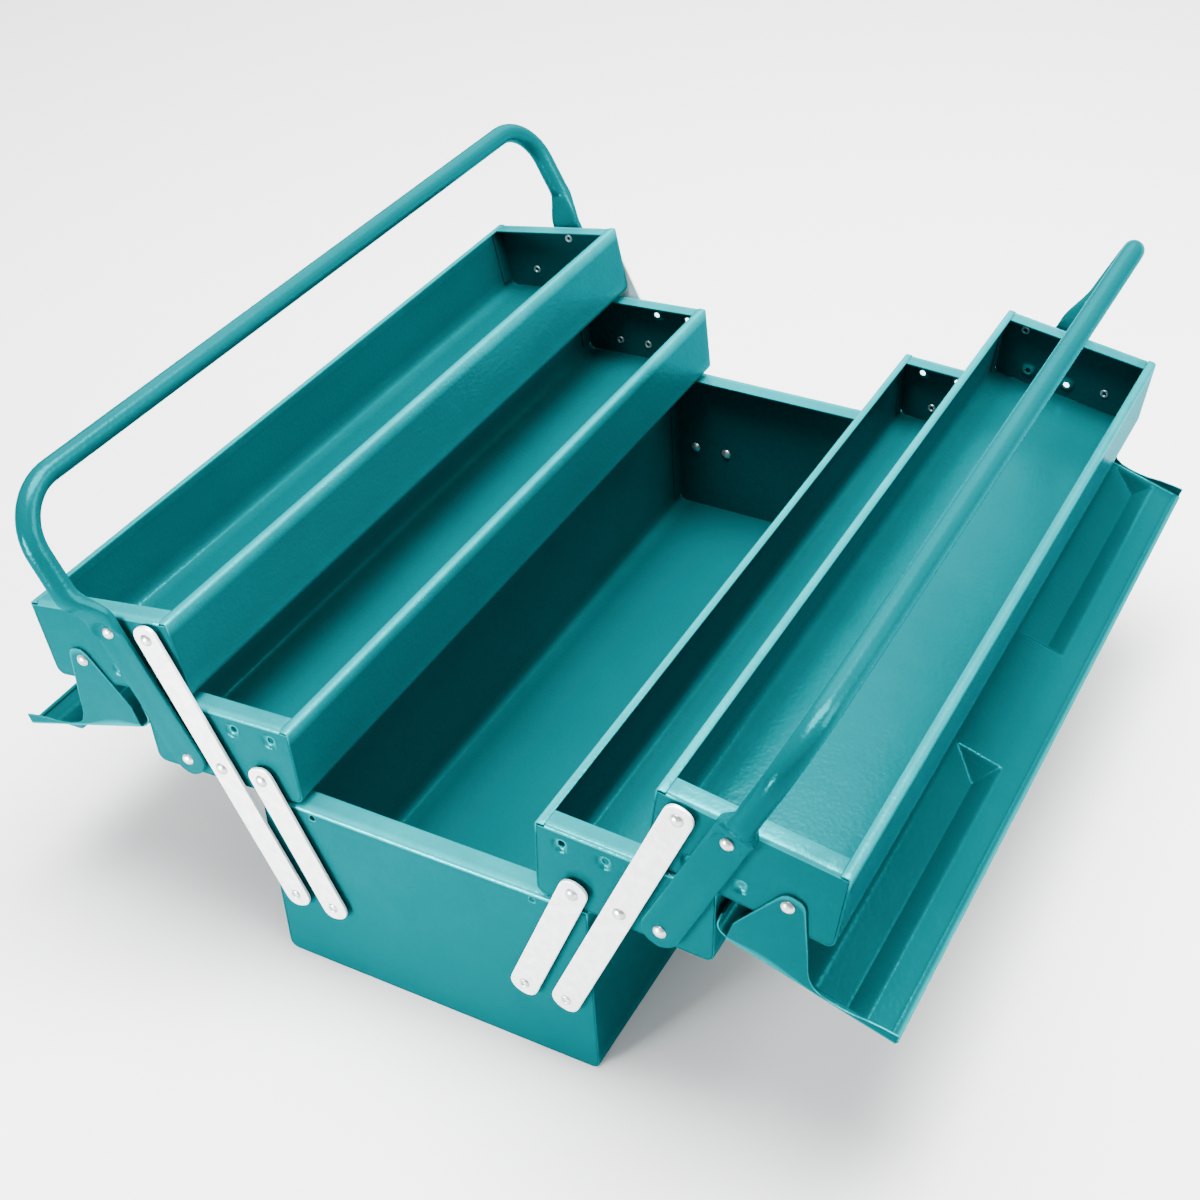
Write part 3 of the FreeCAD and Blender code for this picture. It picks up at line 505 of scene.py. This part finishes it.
def lid_patches(seed):
    """Panel with hem, back roll and lip, then an ear at each end."""
    half = STEEL / 2
    top = LID_TOP - half
    hem_low = top - HEM_DROP
    hem, hem_fold = folded([(HEM_WIDTH, hem_low), (half, hem_low), (half, top), (8, top)], [0.5, 0.5],
                           run=2, steps=4)
    back, back_fold = folded([(90, top), (LID_BACK - half, top), (LID_BACK - half, LIP_LOW)], [LID_RADIUS],
                             run=4, steps=10)
    panel_x = np.unique(np.concatenate([np.arange(8.8, 46.5, 0.75), np.linspace(47, 62, 9),
                                        np.linspace(63, 80, 21), np.linspace(82, 89, 5)]))
    line = np.concatenate([hem, np.stack([panel_x, np.full(len(panel_x), top)], -1), back])
    fold = np.concatenate([hem_fold, np.zeros(len(panel_x)), back_fold])
    along = distance_along(line)
    y = np.concatenate([np.linspace(0, 46, 9), np.arange(48, 68, 0.9), np.linspace(70, 226, 30),
                        np.arange(228, 238.6, 0.7), [LID_END - EAR_FOLD]])
    y = np.concatenate([-y[:0:-1], y])
    on_panel = (line[:, 1] > top - 0.01)[None]
    calm_y = np.clip((LID_END - 16 - np.abs(y)) / 50, 0, 1)
    calm_x = np.clip((90 - line[:, 0]) / 25, 0, 1)
    wave = 0.18 * calm_y[:, None] * calm_x[None] * buckle(y[:, None], line[None, :, 0] * 2, seed)
    lift = rib_height(line[None, :, 0], y[:, None]) + wave
    points = np.empty((len(y), len(line), 3))
    points[..., 0] = line[None, :, 0]
    points[..., 1] = y[:, None]
    points[..., 2] = line[None, :, 1] + np.where(on_panel, lift, 0.0)
    uv = np.stack(np.broadcast_arrays(y[:, None], along[None]), -1)
    ear = ear_patch(line, top)
    return [Patch(points, uv, 0.8 * fold[None]), ear, ear.moved(flip_y=True)]


lid_lean = upper_tilt + joints["right_lid_turn"]["range_deg"][1]
for name, side in SIDES.items():
    seat = Seat(side, lid_lean, UPPER_PIVOTS["lid"], pivot_of("lid_turn"))
    pieces.append(build(f"{name}_pressed_lid", lid_patches(side * 2.1), seat, f"{name}_lid", "teal_paint",
                        [f"{name}_lid"], STEEL, 0.14, crease=28))
print("lid faces:", len(pieces[-1].data.polygons))

# %% [markdown]
# ## Strap links
# The links are cut from flat bar with rounded ends and lightly tumbled edges. Each is a stack of outlines, one
# inside the next: the outline shrinks over the faces and at the corners and is full over the sides.


# %% Link straps
STRAP_IN = HALF_LENGTH + 2.0
LINK_STEEL, LINK_HALF = 2.0, 8.0
LINK_POINTS, LINK_SQUARENESS = 72, 2.35


def link_patch(length):
    """A bar from z = 0 to z = length with superellipse ends, made of rings of shrinking outlines."""
    angle = np.linspace(0, 2 * np.pi, LINK_POINTS, endpoint=False) + np.pi / LINK_POINTS
    power = 2 / LINK_SQUARENESS
    across = np.sign(np.cos(angle)) * np.abs(np.cos(angle)) ** power
    up = np.sign(np.sin(angle)) * np.abs(np.sin(angle)) ** power
    centre = np.where(np.sin(angle) > 0, length, 0.0)
    shrink = np.array([LINK_HALF, 5, 2.5, 1.1, 0.45, 0.2, 0.05, 0, 0, 0.05, 0.2, 0.45, 1.1, 2.5, 5, LINK_HALF])
    depth = np.array([0, 0, 0, 0, 0.02, 0.09, 0.25, 0.45, 1.55, 1.75, 1.91, 1.98, 2, 2, 2, 2.0])
    reach = (LINK_HALF - shrink)[:, None]
    points = np.stack(np.broadcast_arrays(across[None] * reach, depth[:, None],
                                          centre[None] + up[None] * reach), -1)
    wear_and_highlight = np.where(shrink < 0.3, 1.0, 0.0)[:, None]
    return Patch(points, points[..., [2, 0]], wear_and_highlight, wrap=True)


def middle_pin(key):
    """Where one of the right middle tray's pivots is now, as (x, z)."""
    from_long = np.array(MIDDLE_PIVOTS[key]) - MIDDLE_PIVOTS["long"]
    return leaned(from_long, middle_tilt) + pivot_of("middle_tray_turn")


def span_and_lean(low, high):
    """The distance between two pivots, and how many degrees the line between them leans outward."""
    return np.linalg.norm(high - low), np.degrees(np.arctan2(*(high - low)))


long_length, long_lean = span_and_lean(pivot_of("trays_close"), pivot_of("upper_tray_turn"))
short_length, short_lean = span_and_lean(pivot_of("short_links_turn"), middle_pin("short"))
for name, side in SIDES.items():
    for end_name, end in ENDS.items():
        for kind, length, lean, joint in (("long", long_length, long_lean, "trays_close"),
                                          ("short", short_length, short_lean, "short_links_turn")):
            strap = link_patch(length).moved((0, end * STRAP_IN, 0), flip_y=end < 0)
            build(f"{name}_{end_name}_{kind}_strap", [strap], Seat(side, lean, (0, 0), pivot_of(joint)),
                  f"{name}_{kind}_links", "zinc_straps", [f"{name}_{end_name}_{kind}_link"], crease=50)
print(f"straps: {long_length:.1f} and {short_length:.1f} mm between end pivots")

# %% [markdown]
# ## Handles
# A handle is one length of tube. Its ends are pressed flat where the rivets go, and between flat and round the
# tube swells sideways before it thins, which is what a press does to it. The shape is a closed section carried
# along a path: two half widths and a squareness change with the distance from the tip.

# %% Handle's path and sections
TUBE, STRAP_HALF, STRAP_THICK = 6.4, 10.2, 3.0
STRAP_MID = STRAP_IN + STRAP_THICK / 2
PLANE, BEND, REACH = 254.0, 32.0, 87.0
TUBE_POINTS, FAR_UP = 56, 1e3
handle_foot = middle_pin("handle")
handle_span, handle_lean = span_and_lean(handle_foot, pivot_of("handle_turn"))
flat_top = handle_span + 10.0
round_low = flat_top + 24.0


def ease(value):
    """0 to 1 with no kink at either end: 3 t squared minus 2 t cubed."""
    value = np.clip(value, 0, 1)
    return value * value * (3 - 2 * value)


def handle_path():
    """Half the middle line as (y, z), from the tip to the grip's middle, and heights above the lower pin."""
    grip = handle_span + REACH
    bend_low = grip - BEND
    tip = -STRAP_HALF + STRAP_HALF * (1 - np.cos(np.linspace(0, np.pi / 2, 12)))
    up = np.concatenate([tip[:-1], np.linspace(0, flat_top - 8, 20),
                         np.linspace(flat_top - 6, round_low + 4, 26)[:-1],
                         np.linspace(round_low + 4, bend_low, 6)[:-1]])
    offset = ease((up - flat_top + 2) / (round_low - flat_top - 1))
    leg = np.stack([STRAP_MID + (PLANE - STRAP_MID) * offset, up], -1)
    turn = np.linspace(0, np.pi / 2, 19)
    elbow = np.stack([PLANE - BEND + BEND * np.cos(turn), bend_low + BEND * np.sin(turn)], -1)
    bar = np.stack([np.linspace(PLANE - BEND, 0, 22)[1:], np.full(21, grip)], -1)
    return np.concatenate([leg, elbow, bar]), np.concatenate([up, np.full(len(elbow) + len(bar), FAR_UP)])


def handle_sections(up):
    """Half width, half thickness, squareness power and valley depth share at heights above the lower pin."""
    tip = np.sqrt(np.clip(1 - np.clip(-up / STRAP_HALF, 0, 1) ** 2, 0, 1))
    rounding = ease((up - flat_top) / (round_low - flat_top))
    swell = np.exp(-((up - flat_top - 5) / 7) ** 2)
    width = (STRAP_HALF * (1 - rounding) + TUBE * rounding + 0.5 * swell) * tip
    thick = (STRAP_THICK / 2 * (1 - rounding) + TUBE * rounding) * np.clip(tip * 3, 0.55, 1)
    power = 2 / (5.5 * (1 - rounding) + 2 * rounding)
    return width, thick, power, (1 - rounding) * ease((up + 3) / 8)


# %% Handles
def handle_patch():
    """A closed section carried along half the handle, then mirrored to the other end."""
    path, up = handle_path()
    path = np.concatenate([path, path[-2::-1] * (-1, 1)])
    up = np.concatenate([up, up[-2::-1]])[:, None]
    width, thick, power, valley = handle_sections(up)
    tangent = np.gradient(path, axis=0)
    tangent /= np.linalg.norm(tangent, axis=1)[:, None]
    outward = np.stack([tangent[:, 1], -tangent[:, 0]], -1)
    angle = np.linspace(0, 2 * np.pi, TUBE_POINTS, endpoint=False)[None]
    sine, cosine = np.sin(angle), np.cos(angle)
    side_way = np.sign(cosine) * np.abs(cosine) ** power * width
    out_way = np.sign(sine) * np.abs(sine) ** power * thick
    outer = sine > 0.05
    out_way = out_way - valley * 0.7 * np.exp(-(side_way / 3.4) ** 2) * outer
    from_rivet = np.hypot(side_way, up - handle_span)
    lip = 2.3 * ease((from_rivet - 7.2) / 1.3) * ease((up - handle_span + 2) / 3)
    lipped = (STRAP_THICK / 2 + lip) * np.abs(sine) ** power
    out_way = np.where(outer & (lip > 0), np.maximum(out_way, lipped), out_way)
    points = np.stack([side_way, path[:, 0, None] + outward[:, 0, None] * out_way,
                       path[:, 1, None] + outward[:, 1, None] * out_way], -1)
    uv = np.stack(np.broadcast_arrays(distance_along(path)[:, None], angle * TUBE), -1)
    wear_and_highlight = 0.5 * (1 - np.clip(up / 50, 0, 1)) * np.clip(np.abs(cosine) * 6 - 5, 0, 1)
    tips = [np.repeat(points[row].mean(0)[None], TUBE_POINTS, 0)[None] for row in (0, -1)]
    points = np.concatenate([tips[0], points, tips[1]])
    uv = np.concatenate([uv[:1], uv, uv[-1:]])
    wear_and_highlight = np.concatenate([wear_and_highlight[:1], wear_and_highlight, wear_and_highlight[-1:]])
    return Patch(points, uv, wear_and_highlight, wrap=True)


for name, side in SIDES.items():
    seat = Seat(side, handle_lean, (0, 0), handle_foot)
    pieces.append(build(f"{name}_tube_handle", [handle_patch()], seat, f"{name}_handle", "teal_paint",
                        [f"{name}_handle"], crease=60))
print(f"handles lean {handle_lean:.1f} degrees, faces {len(pieces[-1].data.polygons)}")

# %% [markdown]
# ## Rivets
# The pivots are semi-tubular rivets: a domed head on one side and a rolled eyelet on the other. Each is a
# profile turned about its axis. On the trays the domes are outside. On the base the rivets go in from inside,
# so the eyelets show on the straps.

# %% Turned rivets
DOME = np.array([(0.0, 1.95), (0.9, 1.9), (1.8, 1.68), (2.6, 1.28), (3.2, 0.78), (3.55, 0.36), (3.66, 0.12),
                 (3.6, 0.0), (2.3, 0.0), (2.3, -0.6)])
EYELET = np.array([(0.0, -2.2), (0.9, -2.1), (1.2, -1.6), (1.25, 0.1), (1.5, 0.62), (1.95, 0.86), (2.4, 0.78),
                   (2.8, 0.45), (2.95, 0.08), (2.9, 0.0), (2.2, 0.0), (2.2, -0.6)])


def turned(profile, x, y, z, way, squash=0.0):
    """Turn (radius, height) about Y at a place; way is +1 for heads that face +Y."""
    angle = np.linspace(0, 2 * np.pi, 28, endpoint=False)
    radius = profile[:, 0, None] * (1 + squash * np.cos(2 * angle + x))[None]
    points = np.stack(np.broadcast_arrays(x + radius * np.cos(angle)[None], y + way * profile[:, 1, None],
                                          z + radius * np.sin(angle)[None]), -1)
    return Patch(points, points[..., [0, 2]], (profile[:, 0, None] > 3.1) * 0.6 + 0 * angle[None], wrap=True)


def rivet_patches(x, z, outer_face, outside, inside):
    """One rivet through both ends of the box: a head outside, a shank between, and a tail inside."""
    inner_face = HALF_LENGTH - STEEL
    shank = np.array([(2.3, inner_face - 0.3 - HALF_LENGTH), (2.3, outer_face + 0.3 - HALF_LENGTH)])
    patches = []
    for end in ENDS.values():
        patches += [turned(outside, x, end * outer_face, z, end, 0.02),
                    turned(inside, x, end * inner_face, z, -end, 0.02),
                    turned(shank, x, end * HALF_LENGTH, z, end)]
    return patches


LINK_FACE, HANDLE_FACE = STRAP_IN + LINK_STEEL + 0.02, STRAP_IN + STRAP_THICK - 0.35
LID_FACE = HALF_LENGTH + 0.35 + STEEL + 0.02
base_pivots = [pivot_of("trays_close"), pivot_of("short_links_turn")]
base_rivets = [patch for side in SIDES.values() for x, z in base_pivots
               for patch in rivet_patches(side * x, z, LINK_FACE, EYELET, DOME)]
build("base_pivot_rivets", base_rivets, home, "base", "rivets", ["base_rivets"], crease=50)
for (name, level), seat in seats.items():
    pivots = MIDDLE_PIVOTS if level == "middle" else UPPER_PIVOTS
    faces = {"short": LINK_FACE, "long": LINK_FACE, "handle": HANDLE_FACE}
    tray_rivets = [patch for key, (x, z) in pivots.items() if key in faces
                   for patch in rivet_patches(x, z, faces[key], DOME, EYELET)]
    build(f"{name}_{level}_pivot_rivets", tray_rivets, seat, f"{name}_{level}_tray", "rivets",
          [f"{name}_{level}_rivets"], crease=50)
    if level == "upper":
        build(f"{name}_lid_pivot_rivets", rivet_patches(*UPPER_PIVOTS["lid"], LID_FACE, DOME, EYELET), seat,
              f"{name}_upper_tray", "rivets", [f"{name}_lid_rivets"], crease=50)
print("rivet groups:", len(paints["rivets"]))

# %% [markdown]
# ## Writing shader maths as sums
# A `Wire` wraps a node socket, so that a pattern can be written as a Python expression. Each operator adds one
# Math node. Every other node comes from `Finish.node`.

# %% Wires and finishes
class Wire:
    """One value in a node tree, with the operators that the finishes below use."""

    def __init__(self, finish, socket):
        self.finish, self.socket = finish, socket

    def maths(self, operation, first, second):
        return self.finish.node("ShaderNodeMath", {"operation": operation}, {0: first, 1: second})

    def __add__(self, other): return self.maths("ADD", self, other)
    def __radd__(self, other): return self.maths("ADD", other, self)
    def __sub__(self, other): return self.maths("SUBTRACT", self, other)
    def __rsub__(self, other): return self.maths("SUBTRACT", other, self)
    def __mul__(self, other): return self.maths("MULTIPLY", self, other)
    def __rmul__(self, other): return self.maths("MULTIPLY", other, self)

    def above(self, low, high):
        """0 below low, 1 above high, smooth between."""
        return self.finish.node("ShaderNodeMapRange", {"interpolation_type": "SMOOTHSTEP"},
                                {"Value": self, "From Min": low, "From Max": high})


class Finish:
    """A material and the one method that adds nodes to it."""

    def __init__(self, name, **constants):
        self.material = bpy.data.materials.new(name)
        self.material.use_nodes = True
        self.tree = self.material.node_tree
        self.shader = self.tree.nodes["Principled BSDF"]
        for socket, value in constants.items():
            self.shader.inputs[socket.replace("_", " ")].default_value = value

    def node(self, kind, settings, inputs, output=0):
        """Add a node, set it up, then give each input a number or a link; returns its output as a Wire."""
        made = self.tree.nodes.new(kind)
        for key, value in settings.items():
            setattr(made, key, value)
        for key, value in inputs.items():
            if isinstance(value, Wire):
                self.tree.links.new(value.socket, made.inputs[key])
            else:
                made.inputs[key].default_value = value
        return Wire(self, made.outputs[output])

    def place(self):
        """The point being shaded, in the object's own metres."""
        return self.node("ShaderNodeTexCoord", {}, {}, output=3)

    def wear_and_highlight(self):
        """The value of wear and, on rims, painted highlight that the pieces were built with."""
        return self.node("ShaderNodeAttribute", {"attribute_name": "wear_and_highlight"}, {}, output=2)

    def stretched(self, where, scale):
        """A place with each direction scaled, so that a noise on it gets a grain."""
        return self.node("ShaderNodeMapping", {}, {"Vector": where, "Scale": scale})

    def noise(self, where, scale, detail=2.0, roughness=0.5):
        """A cloudy pattern round 0.5; a larger scale is finer."""
        return self.node("ShaderNodeTexNoise", {}, {"Vector": where, "Scale": scale, "Detail": detail,
                                                    "Roughness": roughness})

    def bump(self, strength, distance, height):
        """A surface direction tilted by the slopes of a height pattern."""
        return self.node("ShaderNodeBump", {}, {"Strength": strength, "Distance": distance, "Height": height})

    def mix(self, factor, first, second):
        """A colour between two colours."""
        return self.node("ShaderNodeMix", {"data_type": "RGBA"}, {0: factor, 6: first, 7: second}, output=2)

    def feed(self, **sockets):
        """Link wires to the shader's own sockets."""
        for socket, wire in sockets.items():
            self.tree.links.new(wire.socket, self.shader.inputs[socket.replace("_", " ")])

    def cover(self, *objects):
        """Make this the only material of each object."""
        for piece in objects:
            piece.data.materials.clear()
            piece.data.materials.append(self.material)


print("shader helpers ready")

# %% [markdown]
# ## Teal enamel
# A stoved enamel over steel, with a metallic base under a clear gloss, so its reflections are teal too. The
# small ripple is called orange peel. The colour drifts a little from place to place. Along folds the coat is
# thinner and lighter, with a few tiny chips that let grey primer through. The flat of each rim is lighter too,
# and that is a painted highlight.

# %% Teal enamel
enamel = Finish("teal_enamel", Metallic=0.3, IOR=1.45, Specular_IOR_Level=0.0, Specular_Tint=(0.1, 0.9, 1.0, 1))
place, edge = enamel.place(), enamel.wear_and_highlight()
cloud = enamel.noise(place, 9.0, 3.0)
drift = enamel.noise(place, 45.0, 3.0, 0.6)
peel = enamel.noise(place, 420.0, 2.0, 0.55)
speck = enamel.noise(place, 900.0, 2.0, 0.7)
streaks = enamel.noise(enamel.stretched(place, (900.0, 14.0, 500.0)), 1.0, 2.0, 0.6)
rubs = streaks.above(0.63, 0.78) * cloud.above(0.42, 0.62)
# The third, lighter teal is both a thinner coat at the folds and a painted highlight over the rims.
deep, fresh, thin_coat_and_highlight = (0.0, 0.048, 0.054, 1), (0.0, 0.068, 0.076, 1), (0.0, 0.25, 0.27, 1)
tone = enamel.mix(cloud * 0.7 + drift * 0.3, deep, fresh)
# Mixed toward the lighter teal by the per-point value, which on rim flats is painted highlight and at folds is
# wear.
thinned_and_highlighted = enamel.mix(edge * (0.35 + drift * 0.5), tone, thin_coat_and_highlight)
chips = edge.above(0.6, 0.95) * speck.above(0.69, 0.72) * drift.above(0.5, 0.6)
primer = (0.30, 0.36, 0.37, 1)
colour = enamel.mix(chips, thinned_and_highlighted, primer)
ripple = enamel.bump(0.3, 0.0009, peel * 0.8 + speck * 0.15 - chips * 0.6 + drift * 0.8)
enamel.feed(Base_Color=colour, Roughness=0.17 + cloud * 0.08 + rubs * 0.05 + chips * 0.3, Normal=ripple)
enamel.cover(*paints["teal_paint"])
print("enamel on", len(paints["teal_paint"]), "pieces")

# %% [markdown]
# ## Zinc on the straps
# The straps are zinc plated flat bar: pale, a little milky, with a rolling grain along their length and small
# dull blotches from the bath.

# %% Zinc straps
zinc = Finish("zinc_plate", Metallic=0.55, IOR=1.5)
along_strap = zinc.node("ShaderNodeUVMap", {"uv_map": "metres"}, {})
grain = zinc.noise(zinc.stretched(along_strap, (60.0, 2600.0, 1.0)), 1.0, 3.0, 0.6)
blotch = zinc.noise(along_strap, 160.0, 4.0, 0.65)
edge = zinc.wear_and_highlight()
dull_zinc, clean_zinc, bare_edge = (0.60, 0.61, 0.62, 1), (0.80, 0.81, 0.815, 1), (0.93, 0.94, 0.95, 1)
pale = zinc.mix(blotch.above(0.3, 0.72) * 0.8 + grain * 0.2, dull_zinc, clean_zinc)
bright = zinc.mix(edge * 0.5, pale, bare_edge)
scuff = zinc.bump(0.18, 0.0003, grain * 0.6 + blotch * 0.5)
zinc.feed(Base_Color=bright, Roughness=0.34 + blotch * 0.18 + grain * 0.08 - edge * 0.1, Normal=scuff)
zinc.cover(*paints["zinc_straps"])
print("zinc on", len(paints["zinc_straps"]), "straps")

# %% [markdown]
# ## Rivet steel and spacers
# Rivet heads are bright drawn steel, dented a little by the setting tool. The spacer washers keep their packed
# shape and get a duller steel.

# %% Rivets and spacers
steel = Finish("rivet_steel", Metallic=0.9)
dents = steel.noise(steel.place(), 700.0, 2.0)
stain = steel.noise(steel.place(), 240.0, 3.0)
tint = steel.mix(stain.above(0.35, 0.7), (0.42, 0.43, 0.44, 1), (0.68, 0.69, 0.70, 1))
steel.feed(Base_Color=tint, Roughness=0.2 + stain * 0.22, Normal=steel.bump(0.3, 0.0006, dents))
steel.cover(*paints["rivets"])
washer = Finish("washer_steel", Metallic=0.85)
turning = washer.noise(washer.place(), 1500.0, 2.0)
washer_tint = washer.mix(turning, (0.36, 0.38, 0.39, 1), (0.55, 0.57, 0.58, 1))
washer.feed(Base_Color=washer_tint, Roughness=0.35 + turning * 0.2, Normal=washer.bump(0.15, 0.0002, turning))
spacers = [node for name, node in frame["nodes"].items() if name.endswith("spacers")]
washer.cover(*spacers)
print("spacer groups kept from the frame:", len(spacers))

# %% [markdown]
# ## Floor, light and camera
# A pale floor and four soft lights: the main one is nearly overhead, so rims and floors are bright and walls
# that lean under are dark. A wide one behind lies along the rims as a bright band, one at the right reaches the
# walls that face it, and a small narrow one low at the front left lights the end faces and fades to the right.

# %% Stage
floor_mesh = bpy.data.meshes.new("floor")
floor_corners = [(-20, -20, 0), (20, -20, 0), (20, 20, 0), (-20, 20, 0)]
floor_mesh.from_pydata(floor_corners, [], [(0, 1, 2, 3)])
floor = bpy.data.objects.new("floor", floor_mesh)
bpy.context.scene.collection.objects.link(floor)
paper = Finish("floor_paper", Roughness=0.9)
fibre = paper.noise(paper.place(), 30.0, 3.0)
paper.feed(Base_Color=paper.mix(fibre, (0.61, 0.612, 0.615, 1), (0.63, 0.632, 0.635, 1)))
paper.cover(floor)
world = bpy.data.worlds.new("studio")
bpy.context.scene.world = world
world.use_nodes = True
sky = world.node_tree.nodes["Background"]
sky.inputs["Color"].default_value, sky.inputs["Strength"].default_value = (0.95, 0.98, 1.0, 1), 0.7


def soft_light(name, where, at, size, power, spread=180):
    """An area light at a place, turned to face a point; spread is the angle it shines through."""
    data = bpy.data.lights.new(name, "AREA")
    data.shape, data.size, data.size_y, data.energy = "RECTANGLE", size[0], size[1], power
    data.spread = np.radians(spread)
    lamp = bpy.data.objects.new(name, data)
    bpy.context.scene.collection.objects.link(lamp)
    facing = (Vector(at) - Vector(where)).to_track_quat("-Z", "Y")
    lamp.matrix_world = Matrix.Translation(where) @ facing.to_matrix().to_4x4()


soft_light("back_softbox", (-0.9, 1.9, 1.7), (0, 0, 0.15), (2.8, 2.0), 110)
soft_light("top_softbox", (0.1, 0.12, 1.8), (0, 0, 0.1), (1.1, 1.5), 265)
soft_light("side_softbox", (1.6, 0.4, 1.1), (0, 0, 0.15), (1.2, 0.9), 60)
soft_light("front_softbox", (-0.4, -1.0, 0.16), (-0.08, -0.24, 0.1), (0.4, 0.3), 4.5, spread=50)
print("lights:", len(bpy.data.lights))

# %% Camera
camera_data = bpy.data.cameras.new("camera")
camera_data.sensor_width, camera_data.lens = 36.0, 59.23
camera_data.shift_x, camera_data.shift_y = -0.0522, -0.1327
camera = bpy.data.objects.new("camera", camera_data)
bpy.context.scene.collection.objects.link(camera)
right_way = Vector((0.886, 0.461, -0.038)).normalized()
back_way = Vector((0.405, -0.733, 0.547))
back_way = (back_way - right_way * back_way.dot(right_way)).normalized()
up_way = back_way.cross(right_way)
turned_to = Matrix((right_way, up_way, back_way)).transposed().to_4x4()
camera.matrix_world = Matrix.Translation((0.4706, -0.8148, 0.8347)) @ turned_to
bpy.context.scene.camera = camera
print("camera:", camera_data.lens, "mm lens at", [round(value, 3) for value in camera.matrix_world.translation])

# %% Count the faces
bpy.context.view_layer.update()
total = sum(len(piece.data.polygons) for group in paints.values() for piece in group)
print("visual faces in all:", total)
